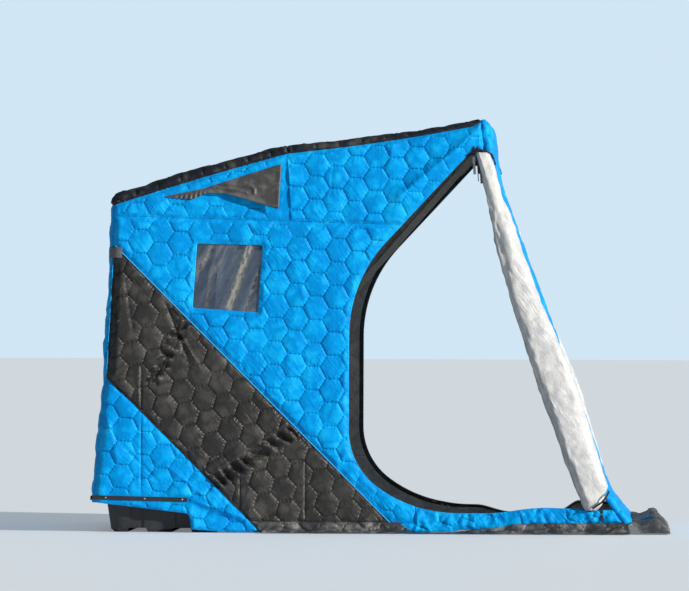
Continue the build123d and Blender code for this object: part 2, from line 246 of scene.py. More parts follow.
# Hoops: square aluminium tube cut to length and pushed over black elbows. The four hoops
# swing on pins in two plate brackets bolted to the sled and carry the whole cover.
hoop_tube, tree, shader, place = new_material("hoop_tube", Metallic=0.2)
streaks = speckle(tree, place, 40, 5, 0.6, (1, 1, 14))
color = ramp(tree, streaks, [(0.3, (0.40, 0.39, 0.37)), (0.7, (0.68, 0.66, 0.62))])
coat(tree, shader, color, ramp(tree, streaks, [(0.3, 0.28), (0.7, 0.45)]))
elbow_plastic = moulded_plastic("elbow_plastic", (0.012, 0.012, 0.013), (0.03, 0.03, 0.032), 0.4)
bracket_steel = moulded_plastic("bracket_steel", (0.03, 0.03, 0.032), (0.07, 0.07, 0.075), 0.35)
for hoop in ("rear", "mid", "front", "base"):
    for part in ("crossbar", "right_arm", "left_arm"):
        dress(f"{hoop}_hoop_{part}", hoop_tube)
for side in sides:
    dress(f"{side}_pivot_bracket", bracket_steel)
    dress(f"{side}_base_bracket", bracket_steel)
dress("hoop_elbows", elbow_plastic)

# Rear wall: blue polyester quilted over thin filling in hexagons, with a plain lining,
# sewn to both sides just round the corner and clamped under the batten at its foot.
edge_turn = 32
rear_turn_extra = 24
half_width = 850
cloth = 6
hex_column = 96.1
hex_row = 113.5
hex_side = hex_column / 1.5
hex_apothem = hex_row / 2


def unit(rows):
    """Each row brought to length one."""
    return rows / np.maximum(np.linalg.norm(rows, axis=-1, keepdims=True), 1e-6)


def turned(plan, degrees):
    angle = math.radians(degrees)
    turn = np.array([[math.cos(angle), -math.sin(angle)], [math.sin(angle), math.cos(angle)]])
    return plan @ turn.T


def divided(points, step, closed=False):
    """The same line with its long runs divided into steps, without its last point."""
    made = []
    for start, end in zip(points, np.roll(points, -1, axis=0) if closed else points[1:]):
        count = max(1, int(round(np.linalg.norm(end - start) / step)))
        made.extend(start + (end - start) * k / count for k in range(count))
    return made


def rounded_path(corners, radii, step=7.0):
    """Points along a broken line whose corners are rounded, a step apart."""
    corners = np.array(corners, dtype=float)
    path = [corners[0]]
    for before, corner, after, radius in zip(corners, corners[1:], corners[2:], radii):
        back, ahead = unit(before - corner), unit(after - corner)
        half = math.acos(np.clip(back @ ahead, -1, 1)) / 2
        centre = corner + unit(back + ahead) * radius / math.sin(half)
        arm = corner + back * radius / math.tan(half) - centre
        sweep = math.copysign(math.pi - 2 * half, back[1] * ahead[0] - back[0] * ahead[1])
        count = max(2, int(radius * abs(sweep) / step) + 1)
        path.extend(centre + turned(arm, math.degrees(sweep * k / count)) for k in range(count + 1))
    path.append(corners[-1])
    return np.array(divided(path, step) + [corners[-1]])


def run_along(line):
    """Distance along a line at each of its points."""
    return np.concatenate([[0], np.cumsum(np.linalg.norm(np.diff(line, axis=0), axis=1))])


roof_x, roof_z = (-1307, -458, 519), (1640, 1880, 2016)
rear_z, rear_x = (-65, 740, 1640), (-1429, -1338, -1307)
front_corners = [(562, 1713), (1114, 202), (1218, 62), (1218, 0)]
side_corners = [*zip(rear_x, rear_z), *zip(roof_x[1:], roof_z[1:]), *front_corners]
side_line = rounded_path(side_corners, [300, 45, 300, 50, 300, 96, 32])
side_run = run_along(side_line)
side_out = unit(np.gradient(side_line, axis=0) @ np.array([[0, 1], [-1, 0]]))


def run_where(axis, value, low_run=0.0, high_run=1e9):
    """Distance along the side line at which x or z passes a value."""
    inside = np.where((side_run[:-1] >= low_run) & (side_run[1:] <= high_run))[0]
    a, b = side_line[inside, axis] - value, side_line[inside + 1, axis] - value
    k = inside[np.where(a * b <= 0)[0][0]]
    share = (value - side_line[k, axis]) / (side_line[k + 1, axis] - side_line[k, axis])
    return side_run[k] + share * (side_run[k + 1] - side_run[k])


def ease(value, low, high):
    part = np.clip((value - low) / (high - low), 0, 1)
    return part * part * (3 - 2 * part)


def turn_radius(x, z):
    """The cloth turns its long rear corners more loosely than the others."""
    return edge_turn + rear_turn_extra * (1 - ease(z, 1450, 1580)) * (x < 0)


def settled(points):
    """Let the cloth sag between the hoops and belly out behind."""
    rear_rise, front_sag, rear_belly = 6, 13, 11
    x, z = points[:, 0], points[:, 2]
    rear_share = np.clip((x - roof_x[0]) / (roof_x[1] - roof_x[0]), 0, 1)
    front_share = np.clip((x - roof_x[1]) / (roof_x[2] - roof_x[1]), 0, 1)
    rise = rear_rise * np.sin(math.pi * rear_share) - front_sag * np.sin(math.pi * front_share)
    points[:, 2] = z + rise * (1 - ease(np.interp(x, roof_x, roof_z) - z, 0, 260))
    rear = np.interp(z, rear_z, rear_x)
    belly = rear_belly * np.exp(-(((z - 800) / 360) ** 2))
    points[:, 0] = x - belly * (1 - ease(x - rear, 0, 180))
    return points


def wall_place(plan, height):
    """Wrap a wall's plan, (run up the side line, width across), round the hut."""
    run, across = plan[:, 0], plan[:, 1]
    x, z = (np.interp(run, side_run, side_line[:, k]) for k in (0, 1))
    out_x, out_z = (np.interp(run, side_run, side_out[:, k]) for k in (0, 1))
    radius = turn_radius(x, z)
    flat = half_width - radius
    over = np.abs(across) - flat
    turn = np.clip(over / radius, 0, math.pi / 2)
    inward = radius * (1 - np.cos(turn)) + np.maximum(0, over - radius * math.pi / 2)
    sign = np.sign(across)
    y = sign * (np.minimum(np.abs(across), flat) + radius * np.sin(turn))
    x = x - inward * out_x + height * out_x * np.cos(turn)
    z = z - inward * out_z + height * out_z * np.cos(turn)
    return settled(np.stack([x, y + height * sign * np.sin(turn), z], axis=1))


def wrap_width(run, inward):
    """Width across, from the middle, at which a wall has come this far round its edge."""
    x, z = (np.interp(run, side_run, side_line[:, k]) for k in (0, 1))
    radius = float(turn_radius(x, z))
    if inward <= radius:
        return half_width - radius + radius * math.acos(1 - inward / radius)
    return half_width - radius + radius * math.pi / 2 + inward - radius


def scatter(cells, seed):
    """Fixed pseudo-random number from 0 to 1 for each pair of whole numbers."""
    mixed = cells[..., 0].astype(np.int64) * 374761393 + cells[..., 1].astype(np.int64) * 668265263
    mixed = (mixed + seed * 974711) & 0x7FFFFFFF
    mixed = ((mixed ^ (mixed >> 13)) * 1274126177) & 0x7FFFFFFF
    return ((mixed ^ (mixed >> 16)) & 0xFFFF) / 65535.0


def ripple(plan, size, seed):
    """Smooth noise from -1 to 1; size is the width of a bump, one or two numbers."""
    place = plan / np.array(size, dtype=float)
    cell = np.floor(place)
    part = place - cell
    part = part * part * part * (part * (part * 6 - 15) + 10)
    total = 0
    for dx in (0, 1):
        for dz in (0, 1):
            weight = np.abs(1 - dx - part[:, 0]) * np.abs(1 - dz - part[:, 1])
            total = total + weight * scatter(cell + (dx, dz), seed)
    return total * 2 - 1


def line_gap(plan, starts, ends):
    """Distance from each point to the nearest of many straight lines."""
    gaps = np.empty(len(plan))
    span = ends - starts
    length = np.maximum((span**2).sum(1), 1e-9)
    for k in range(0, len(plan), 4000):
        offset = plan[k : k + 4000, None] - starts[None]
        share = np.clip((offset * span).sum(2) / length, 0, 1)
        gap = offset - share[..., None] * span
        gaps[k : k + 4000] = np.sqrt((gap**2).sum(2)).min(1)
    return gaps


def loops_gap(plan, loops):
    starts = np.concatenate(loops)
    ends = np.concatenate([np.roll(loop, -1, axis=0) for loop in loops])
    return line_gap(plan, starts, ends)


def inside_loops(plan, loops):
    """Even-odd test, so a second loop inside the first is a hole."""
    inside = np.zeros(len(plan), dtype=bool)
    for loop in loops:
        for (x0, z0), (x1, z1) in zip(loop, np.roll(loop, -1, axis=0)):
            if z0 == z1:
                continue
            crosses = (plan[:, 1] > min(z0, z1)) & (plan[:, 1] <= max(z0, z1))
            at = x0 + (plan[:, 1] - z0) * (x1 - x0) / (z1 - z0)
            inside ^= crosses & (plan[:, 0] < at)
    return inside


def hex_stitching(plan, lattice):
    """Gap to the nearest stitched seam, run along it, the hexagon's number and the arm from its
    middle. A lattice is the middle of one hexagon and the turn of the rows in degrees."""
    (ox, oz), degrees = lattice
    local = turned(plan - (ox, oz), -degrees)
    nearest, gap2 = None, np.full(len(plan), 1e18)
    column = np.round(local[:, 0] / hex_column)
    for shift in (-1, 0, 1):
        i = column + shift
        j = np.round(local[:, 1] / hex_row - 0.5 * (i % 2))
        offset = local - np.stack([i * hex_column, (j + 0.5 * (i % 2)) * hex_row], axis=1)
        new_gap = (offset**2).sum(1)
        better = new_gap < gap2
        gap2 = np.where(better, new_gap, gap2)
        found = np.concatenate([offset, i[:, None], j[:, None]], axis=1)
        nearest = found if nearest is None else np.where(better[:, None], found, nearest)
    offset, cells = nearest[:, :2], nearest[:, 2:]
    best, run = np.full(len(plan), -1.0), np.zeros(len(plan))
    for angle in (90, 30, -30):
        reach, along = np.abs(turned(offset, -angle)).T
        run = np.where(reach > best, along, run)
        best = np.maximum(best, reach)
    return np.clip(hex_apothem - best, 0, None), run, cells, offset


def hex_points(loops, lattice, rings):
    """Points on the rings of every hexagon near the loops, and the seams' own lines."""
    (ox, oz), degrees = lattice
    corners = np.concatenate(loops)
    reach = turned(corners - (ox, oz), -degrees)
    low, high = reach.min(0) - hex_row, reach.max(0) + hex_row
    turns = np.radians(np.arange(0, 361, 60))
    rim = np.stack([np.cos(turns), np.sin(turns)], axis=1) * hex_side
    rim[:, 1] *= hex_apothem / (hex_side * math.sin(math.pi / 3))
    inner = [np.zeros((1, 2))]
    for share, count in rings[:-1]:
        steps = np.arange(count)[:, None] / count
        inner.extend(share * (a + (b - a) * steps) for a, b in zip(rim[:-1], rim[1:]))
    inner = np.concatenate(inner)
    steps = np.linspace(0, 1, rings[-1][1] + 1)[:, None]
    borders = [a + (b - a) * steps for a, b in zip(rim[:3], rim[1:4])]
    points, seams = [], []
    for i in range(int(low[0] // hex_column), int(high[0] // hex_column) + 2):
        for j in range(int(low[1] // hex_row) - 1, int(high[1] // hex_row) + 2):
            centre = np.array([i * hex_column, (j + 0.5 * (i % 2)) * hex_row])
            points.append(centre + inner)
            seams.extend(centre + border for border in borders)
    points = turned(np.concatenate(points), degrees) + (ox, oz)
    seams = [turned(seam, degrees) + (ox, oz) for seam in seams]
    return points, seams


fine_rings = [(0.3, 3), (0.56, 5), (0.78, 6), (0.905, 7), (0.965, 7), (1.0, 7)]
close_rings = [(0.25, 3), (0.5, 5), (0.7, 6), (0.86, 7), (0.962, 7), (1.0, 7)]
plain_rings = [(0.55, 3), (0.95, 4), (1.0, 4)]


def spaced(loop, step=9.0):
    """The same closed line with its long runs divided."""
    return np.array(divided(loop, step, closed=True))


def line_frame(start, end):
    """Start, direction, direction to its left and length of a straight line."""
    start = np.array(start, dtype=float)
    length = np.linalg.norm(end - start)
    way = (end - start) / length
    return start, way, np.array([-way[1], way[0]]), length


def fold_lines(folds):
    """Lines along the crest and both feet of each fold, for the triangles to follow."""
    lines = []
    for start, end, width in (fold[:3] for fold in folds):
        start, way, left, length = line_frame(start, end)
        runs = np.linspace(-0.1, 1.1, max(3, int(length / 9)))[:, None] * length
        lines.extend(start + way * runs + left * off for off in (-width, 0, width))
    return lines


def inset_points(loops, inset, pitch):
    """Points of a row set in from a panel's edges, and the row's direction at each."""
    spots, ways = [], []
    for loop in loops:
        line = spaced(loop, pitch)
        way = unit(np.roll(line, -1, axis=0) - np.roll(line, 1, axis=0))
        for sign in (1, -1):
            spot = line + sign * inset * np.stack([-way[:, 1], way[:, 0]], axis=1)
            good = inside_loops(spot, loops) & (loops_gap(spot, loops) > inset * 0.97)
            spots.append(spot[good])
            ways.append(way[good])
    return np.concatenate(spots), np.concatenate(ways)


def cut_cloth(loops, lattice, rings, lines, rows):
    """Triangles over a flat cut, with points on its seams and folds. Returns plan and faces."""
    loops = [spaced(loop) for loop in loops]
    hem_gap, seam_gap, least_area = 4.0, 3.0, 1e-3
    inner, seams = hex_points(loops, lattice, rings)
    seams = seams + lines
    hem_points = [inset_points(loops, row + off, 10.0)[0] for row in rows for off in (0.0, 2.5)]
    box_low, box_high = loops[0].min(0), loops[0].max(0)

    def kept(plan, margin):
        near = ((plan > box_low) & (plan < box_high)).all(1)
        result = np.zeros(len(plan), dtype=bool)
        if near.any():
            some = plan[near]
            result[near] = inside_loops(some, loops) & (loops_gap(some, loops) > margin)
        return result

    inner = np.concatenate([inner[kept(inner, max(rows) + hem_gap)]] + hem_points)
    seam_points = np.concatenate(seams)
    seam_kept = kept(seam_points, seam_gap)
    where, edges = {}, []
    points = [tuple(point) for point in inner]
    stays = iter(seam_kept)
    for seam in seams:
        previous = None
        for point in seam:
            if not next(stays):
                previous = None
                continue
            key = (round(point[0], 1), round(point[1], 1))
            if key not in where:
                where[key] = len(points)
                points.append(tuple(point))
            if previous is not None and previous != where[key]:
                edges.append((previous, where[key]))
            previous = where[key]
    for loop in loops:
        start = len(points)
        points.extend(tuple(point) for point in loop)
        size = len(loop)
        edges.extend((start + k, start + (k + 1) % size) for k in range(size))
    made = delaunay_2d_cdt([Vector(point) for point in points], edges, [], 0, 1e-3, False)
    plan = np.array([tuple(point) for point in made[0]])
    faces = np.array(made[2])
    middle = plan[faces].mean(1)
    a, b, c = (plan[faces[:, k]] for k in range(3))
    area = (b - a)[:, 0] * (c - a)[:, 1] - (b - a)[:, 1] * (c - a)[:, 0]
    faces = faces[inside_loops(middle, loops) & (np.abs(area) > least_area)]
    used = np.unique(faces)
    renumber = np.full(len(plan), -1)
    renumber[used] = np.arange(len(used))
    return plan[used], renumber[faces], loops


def two_skins(outer, inner, faces):
    """Close two skins that share their triangles, joined round the edge."""
    count = len(outer)
    points = np.concatenate([outer, inner])
    edges = np.concatenate([faces[:, (0, 1)], faces[:, (1, 2)], faces[:, (2, 0)]])
    forward = edges[:, 0].astype(np.int64) * count + edges[:, 1]
    back = edges[:, 1].astype(np.int64) * count + edges[:, 0]
    rim = edges[~np.isin(forward, back)]
    all_faces = [tuple(face) for face in faces.tolist()]
    all_faces += [(c + count, b + count, a + count) for a, b, c in faces.tolist()]
    all_faces += [(b, a, a + count, b + count) for a, b in rim.tolist()]
    slots = np.zeros(len(all_faces), dtype=np.int32)
    slots[len(faces) : 2 * len(faces)] = 1
    return points, all_faces, slots


def loop_area(loop):
    x, z = loop[:, 0], loop[:, 1]
    return abs((x * np.roll(z, -1) - z * np.roll(x, -1)).sum()) / 2


def sew_row(loops, surface, inset, pitch):
    """A row of stitches, each a small spindle of thread, set in from a panel's edges."""
    spots, ways = inset_points(loops, inset, pitch)
    half_length, half_width_of_thread, end_lift = 3.8, 0.55, 0.35
    ends = [surface(spots + ways * shift, end_lift) for shift in (-half_length, half_length)]
    crown = surface(spots, 1.0)
    out = unit(crown - surface(spots, -1.0))
    across = unit(np.cross(ends[1] - ends[0], out)) * half_width_of_thread
    points = np.concatenate([*ends, crown + across, crown - across, crown + out * 0.5, crown - out])
    sides_of_one = [(0, 2, 4), (2, 1, 4), (1, 3, 4), (3, 0, 4), (2, 0, 5), (1, 2, 5), (3, 1, 5), (0, 3, 5)]
    faces = np.array(sides_of_one)[:, None] * len(spots) + np.arange(len(spots))[None, :, None]
    return points, faces.reshape(-1, 3).tolist()


def crease(plan, start, end, width, height, lean=0.0):
    """A straight ridge, or with a negative height a groove, that fades at its ends."""
    start, way, left, length = line_frame(start, end)
    along, off = (plan - start) @ way, (plan - start) @ left
    fade = ease(along, -0.12 * length, 0.18 * length) * (1 - ease(along, 0.82 * length, 1.12 * length))
    reach = width * np.where(off > 0, 1 + lean, 1 - lean)
    return height * np.exp(-((np.abs(off) / reach) ** 1.4)) * fade


def add_layer(piece, name, values):
    """Attribute for the material, with the same values on both skins."""
    layer = piece.data.attributes.new(name, "FLOAT", "POINT")
    layer.data.foreach_set("value", np.tile(values, 2).astype(np.float32))


def quilted_piece(name, loops, place, lattice, skins, slot, thread, loft=7.0, hem=14.0, rings=plain_rings,
                  shape=None, quiet=None, seed=1, both=False, stands_for=(), pucker=2.2, rows=(5,),
                  held="stretched", folds=()):
    seam_bite, row_bite, stitch_pitch = 1.6, 1.7, 10.5

    def relief_at(plan):
        gap, run, cells, arm = hex_stitching(plan, lattice)
        edge = loops_gap(plan, cut_loops)
        calm = quiet(plan) if quiet else 1.0
        plump = 0.55 * (1 - (1 - np.clip(gap / hex_apothem, 0, 1)) ** 2) + 0.45 * (1 - np.exp(-gap / 4.5))
        size = 0.62 + 0.76 * scatter(cells, seed)
        lean = np.stack([scatter(cells, seed + 6), scatter(cells, seed + 7)], axis=1) - 0.5
        tilt = (arm * lean).sum(1) * 0.15 * plump
        open_cloth = ease(edge, 3, hem) * calm
        height = loft * size * plump * open_cloth + tilt * open_cloth
        height -= seam_bite * np.exp(-gap / 2.5) * open_cloth
        height += ripple(plan, (30, 30), seed + 2) * 0.7 * plump * open_cloth
        height += ripple(plan, (13, 13), seed + 8) * 0.7 * np.exp(-gap / 13) * ease(gap, 0, 5) * open_cloth
        height += pucker * np.exp(-edge / 26) * ripple(plan, (13, 13), seed + 3) * ease(edge, 0, 5) * calm
        height -= seam_bite * np.exp(-edge / 2.5)
        height -= sum(row_bite * np.exp(-np.abs(edge - row) / 1.6) for row in rows)
        if shape:
            height += shape(plan, edge)
        height += sum(crease(plan, *fold) for fold in folds) * ease(edge, 0, 12) * calm
        stitched = (edge > hem * 0.6) & (calm > 0.5)
        return height, np.where(stitched, gap, 30.0), run

    plan, faces, cut_loops = cut_cloth(loops, lattice, rings, fold_lines(folds), rows)
    height, gap, run = relief_at(plan)
    outer = place(plan, height)
    lining_depth = np.minimum(-cloth + 0.8 * np.exp(-gap / 6) - 0.18 * height, height - 4.0)
    inner = place(plan, lining_depth)
    points, all_faces, slots = two_skins(outer, inner, faces)
    seam_points, seam_faces = gather([
        sew_row(cut_loops, lambda spots, lift: place(spots, relief_at(spots)[0] + lift), inset, stitch_pitch)
        for inset in rows
    ])
    for side in ("right", "left") if both else ("",):
        if side == "left":
            points, all_faces = mirrored(points, all_faces)
            seam_points, seam_faces = mirrored(seam_points, seam_faces)
        full_name = f"{side}_{name}" if side else name
        piece = make_piece(full_name, points, all_faces, skins, slot, slots)
        add_layer(piece, "seam_near", 30 - np.minimum(gap, 30))
        add_layer(piece, "seam_run", run)
        nodes = [f"{side}_{stands}" if side else stands for stands in stands_for]
        if nodes:
            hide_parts(*nodes)
        make_piece(full_name + "_stitches", seam_points, seam_faces, [thread], slot)


def creases(tree, place, scale, stretch=None):
    """Sharp-edged folds: the folded-over middle of a smooth noise."""
    noise = speckle(tree, place, scale, 2.5, 0.45, stretch)
    return sums(tree, "ABSOLUTE", sums(tree, "SUBTRACT", noise, 0.5))


def woven(name, dark, plain, crest_wear_and_sheen, thread, tint, rough=0.45, gloss=0.35, crumple=1.0):
    """Coated polyester: fine weave, crisp creases, gathers along the stitching and its thread; painted shade
    in seams and creases.
    """
    constants = {"Specular_IOR_Level": gloss, "Specular_Tint": tint}
    material, tree, shader, place = new_material(name, **constants)
    seam_near = node(tree, "ShaderNodeAttribute", {"attribute_name": "seam_near"}).outputs["Fac"]
    gap = sums(tree, "SUBTRACT", 30.0, seam_near)
    run = node(tree, "ShaderNodeAttribute", {"attribute_name": "seam_run"}).outputs["Fac"]
    cloudy = speckle(tree, place, 6, 5, 0.62)
    folds = creases(tree, place, 13)
    small_folds = creases(tree, place, 42)
    # The colour follows the bump's creases: darker in their valleys, which is painted shade, and lighter on
    # their crests, which stands for wear and painted highlight.
    mixed = sums(tree, "ADD", times(tree, cloudy, 0.8), times(tree, folds, 1.2))
    color = ramp(tree, mixed, [(0.42, dark), (0.52, plain), (0.68, crest_wear_and_sheen)])
    in_seam = sums(tree, "LESS_THAN", gap, 0.8)
    dash = sums(tree, "GREATER_THAN", sums(tree, "SINE", times(tree, run, 1.7)), -0.3)
    sewn = blend(tree, "MIX", times(tree, in_seam, dash), color, thread)
    # Painted shade: the colour is darkened within a few millimetres of each stitched seam, along its groove.
    painted_seam_shade = ramp(tree, times(tree, gap, 0.14), [(0.0, 0.55), (0.5, 1.0)])
    worn_rough = ramp(tree, cloudy, [(0.3, rough - 0.08), (0.7, rough + 0.1)])
    coat(tree, shader, blend(tree, "MULTIPLY", 1.0, sewn, painted_seam_shade), worn_rough)
    wander = times(tree, speckle(tree, place, 30, 2), 9.0)
    waves = sums(tree, "SINE", sums(tree, "ADD", times(tree, run, 0.36), wander))
    near = node(tree, "ShaderNodeMapRange", Value=gap, From_Min=0.0, From_Max=30.0, To_Min=1.0, To_Max=0.0)
    gathers = times(tree, waves, sums(tree, "POWER", near.outputs[0], 2.0))
    wave = {"wave_type": "BANDS", "bands_direction": "X"}
    warp = node(tree, "ShaderNodeTexWave", wave, Vector=place, Scale=260.0)
    weft = node(tree, "ShaderNodeTexWave", {**wave, "bands_direction": "Z"}, Vector=place, Scale=260.0)
    weave = times(tree, warp.outputs["Fac"], weft.outputs["Fac"])
    slanted = node(tree, "ShaderNodeMapping", Vector=place, Rotation=(0, math.radians(38), 0)).outputs[0]
    pulls = creases(tree, slanted, 26, (1.6, 1, 0.3))
    pulled = ramp(tree, speckle(tree, place, 4, 2), [(0.46, 0.0), (0.62, 1.0)])
    relief(tree, shader, [
        (folds, 0.0045 * crumple),
        (small_folds, 0.0019 * crumple),
        (times(tree, pulls, pulled), 0.0055 * crumple),
        (speckle(tree, place, 110, 3, 0.5), 0.0003 * crumple),
        (gathers, 0.0007),
        (weave, 0.0001),
    ])
    return material


def plain_thread(name, color):
    material, tree, shader, place = new_material(name, Roughness=0.55)
    twist = speckle(tree, place, 1800, 1, 0.5, (1, 1, 0.3))
    shade = tuple(0.7 * part for part in color)
    coat(tree, shader, ramp(tree, twist, [(0.3, shade), (0.7, color)]))
    return material


blue_cloth = woven("blue_cloth", (0.0, 0.27, 0.70), (0.0, 0.345, 0.80), (0.006, 0.43, 0.88),
                   (0.01, 0.42, 0.88), (0.16, 0.61, 1.0), gloss=0.42, crumple=1.4)
black_cloth = woven("black_cloth", (0.026, 0.025, 0.025), (0.042, 0.040, 0.038), (0.062, 0.058, 0.052),
                    (0.10, 0.097, 0.09), (1.0, 0.96, 0.9), rough=0.42, crumple=1.25)
lining_cloth = woven("lining_cloth", (0.44, 0.44, 0.435), (0.56, 0.56, 0.55), (0.62, 0.62, 0.61),
                     (0.5, 0.5, 0.5), (1.0, 1.0, 1.0), rough=0.5)
blue_thread = plain_thread("blue_thread", (0.02, 0.40, 0.80))
black_thread = plain_thread("black_thread", (0.09, 0.088, 0.082))
blue_quilting = ([blue_cloth, lining_cloth], "blue_quilt", blue_thread)
black_quilting = ([black_cloth, lining_cloth], "black_quilt", black_thread)


def wall_loop(edges):
    """Closed plan of a wall from (run, half width) pairs, the same on both sides."""
    right = [(run, -width) for run, width in edges]
    left = [(run, width) for run, width in reversed(edges)]
    return np.array(right + left)


def wall_edges(marks, step=45):
    """(run, half width) pairs from (run, distance round the edge) marks, closely spaced."""
    runs, inward = zip(*marks)
    count = int((runs[-1] - runs[0]) / step) + 2
    spots = np.unique(np.concatenate([np.linspace(runs[0], runs[-1], count), runs]))
    return wall_loop([(run, wrap_width(run, np.interp(run, runs, inward))) for run in spots])


tab_low, tab_high = 1333, 1385
rear_low_run = run_where(1, 146)
rear_top_run = run_where(1, 1590)


def rear_quiet(plan):
    z = np.interp(plan[:, 0], side_run, side_line[:, 1])
    under_tab = (np.abs(z - (tab_low + tab_high) / 2) < 36) & (np.abs(plan[:, 1]) > 770)
    under_batten = 1 - ease(z, 182, 200)
    return (1 - under_tab) * (1 - under_batten)


def rear_shape(plan, edge):
    sag = ripple(plan, (260, 420), 31) * 5 + ripple(turned(plan, 35), (60, 300), 32) * 3
    return sag * ease(edge, 0, 60) * rear_quiet(plan)


quilted_piece("rear_quilt", [wall_edges([(rear_low_run, 15), (rear_top_run, 15)])], wall_place,
              ((50, 0), 90), *blue_quilting, shape=rear_shape, quiet=rear_quiet, seed=11,
              stands_for=["rear_wall"])

# Roof: two lengths of black quilted cloth, sewn together over the middle hoop, whose
# edges lap down over the sides as a band that is gathered on its seam.
# The roof cloth's pale warm crest colour is painted highlight standing for sunlit facets.
roof_cloth = woven("roof_cloth", (0.010, 0.011, 0.016), (0.018, 0.019, 0.025), (0.065, 0.059, 0.050),
                   (0.09, 0.088, 0.085), (0.8, 0.9, 1.0), rough=0.48, gloss=0.25, crumple=1.3)
roof_quilting = ([roof_cloth, lining_cloth], "black_quilt", black_thread)
mid_run = run_where(0, roof_x[1])
corner_run = run_where(0, -1262, run_where(1, 1630))
rear_corner_run = run_where(1, 1603)
roof_end_run = run_where(0, 482, mid_run)


def roof_shape(plan, edge):
    loose = 1 - ease(plan[:, 0], mid_run - 260, mid_run - 40)
    long_folds = ripple(turned(plan, 12), (150, 30), 41) * (2 + 4 * loose) * np.exp(-edge / 60)
    sag = ripple(plan, (230, 300), 42) * 5
    return long_folds * ease(edge, 0, 10) + sag * ease(edge, 0, 70)


roof_rear_marks = [(rear_top_run, 15), (rear_corner_run, 43), (corner_run, 44), (corner_run + 60, 47),
                   (mid_run, 38.5)]
quilted_piece("roof_rear_quilt", [wall_edges(roof_rear_marks)], wall_place, ((0, 0), 90),
              *roof_quilting, hem=10, shape=roof_shape, seed=12, stands_for=["roof_rear_panel"],
              pucker=2.6)
roof_front_marks = [(mid_run, 38.5), (run_where(0, 444, mid_run), 27.7), (roof_end_run, 14)]
quilted_piece("roof_front_quilt", [wall_edges(roof_front_marks)], wall_place, ((0, 0), 90),
              *roof_quilting, loft=5, hem=10, shape=roof_shape, seed=13,
              stands_for=["roof_front_panel"], pucker=1.6)

# Front wall: one long blue quilted length from the peak down to the ice, wrapped a hand's
# width round each side, where the doors hinge on it.
front_end_run = run_where(1, 52, roof_end_run)
front_marks = [(roof_end_run, 14), (run_where(1, 1970, roof_end_run), 40),
               (run_where(1, 1713, roof_end_run), 41), (run_where(1, 202, roof_end_run), 39),
               (front_end_run, 34)]


def front_shape(plan, edge):
    sag = ripple(plan, (300, 380), 51) * 6 + ripple(turned(plan, -30), (55, 260), 52) * 3
    crease_near = ripple(plan, (40, 120), 53) * 3.5 * np.exp(-edge / 50)
    return sag * ease(edge, 0, 60) + crease_near * ease(edge, 0, 8)


quilted_piece("front_quilt", [wall_edges(front_marks)], wall_place, ((0, 0), 90), *blue_quilting,
              shape=front_shape, seed=14, stands_for=["front_wall"])

# Sides: each is sewn from an upper and a main blue panel, a black stripe laid slantwise
# across the corner, and a blue panel below it that ends in the flap over the sled.
def side_place(plan, height):
    """Stand a side panel's plan up on the right-hand side, turned in at its rounded edges."""
    radius = turn_radius(plan[:, 0], plan[:, 1])
    inward = np.minimum(line_gap(plan, side_line[:-1], side_line[1:]), radius)
    back = radius - inward
    depth = radius - np.sqrt(np.maximum(radius**2 - back**2, 0))
    lean = back / radius
    y = -(half_width - depth) - height * np.sqrt(1 - np.minimum(lean, 0.98) ** 2)
    return settled(np.stack([plan[:, 0], y, plan[:, 1]], axis=1))


def panel_loops(node_name):
    """Outline of a right-hand CAD panel's outer face, as closed lines of (x, z)."""
    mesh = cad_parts[node_name].data
    corners = np.array([vertex.co for vertex in mesh.vertices]) / mm
    keys = [tuple(np.round(corner, 2)) for corner in corners]
    edges = {}
    for face in mesh.polygons:
        if face.normal.y < -0.5:
            ring = [keys[k] for k in face.vertices]
            for a, b in zip(ring, ring[1:] + ring[:1]):
                if (b, a) in edges:
                    del edges[(b, a)]
                else:
                    edges[(a, b)] = True
    after = {a: b for a, b in edges}
    loops = []
    while after:
        first, point = next(iter(after.items()))
        loop = [first]
        while point != first:
            loop.append(point)
            point = after.pop(point)
        after.pop(first, None)
        loops.append(np.array([(x, z) for x, y, z in loop]))
    loops.sort(key=loop_area, reverse=True)
    return [loop for loop in loops if loop_area(loop) > 400]


def main_shape(plan, edge):
    more = ripple(turned(plan, 40), (130, 420), 61) * 3 + ripple(plan, (300, 300), 62) * 3
    return more * ease(edge, 0, 60)


main_folds = [
    ((-60, 930), (-215, 640), 16, 4.5),
    ((-30, 800), (-150, 560), 12, -4.0),
    ((-420, 1300), (-330, 1010), 14, 3.0),
    ((-560, 1420), (-420, 1300), 10, 3.0),
    ((-120, 560), (-190, 330), 12, 4.0),
    ((20, 1480), (-60, 1330), 9, -3.0),
    ((330, 1560), (240, 1400), 9, 3.0),
]
quilted_piece("main_quilt", panel_loops("right_main_panel"), side_place, ((-314, 1093), -2.4),
              *blue_quilting, rings=fine_rings, shape=main_shape, seed=21, both=True,
              stands_for=["main_panel"], hem=24, rows=(6, 20), folds=main_folds)

hood_top = [(-1050, 1631), (-856, 1672), (-778, 1698), (-483, 1791)]
hood_lip = [(-1052, 1627), (-909, 1619), (-841, 1651), (-746, 1645), (-494, 1572)]
hood_field = np.array([(-1062, 1628), (-856, 1682), (-778, 1708), (-470, 1803), (-480, 1560), (-746, 1600),
                       (-909, 1606)], dtype=float)
smooth_strip = np.array([(-470, 1830), (-458, 1838), (-434, 1500), (-490, 1500)], dtype=float)


def inside_field(plan, field, soft):
    depth = loops_gap(plan, [field])
    return ease(np.where(inside_loops(plan, [field]), depth, -depth), -soft, soft)


def rear_groove(plan):
    """1 in the hollow that runs down a side just inside its rear corner."""
    inward = plan[:, 0] - np.interp(plan[:, 1], rear_z, rear_x)
    return ease(inward, 12, 24) * (1 - ease(inward, 46, 58)) * (1 - ease(plan[:, 1], 1560, 1600))


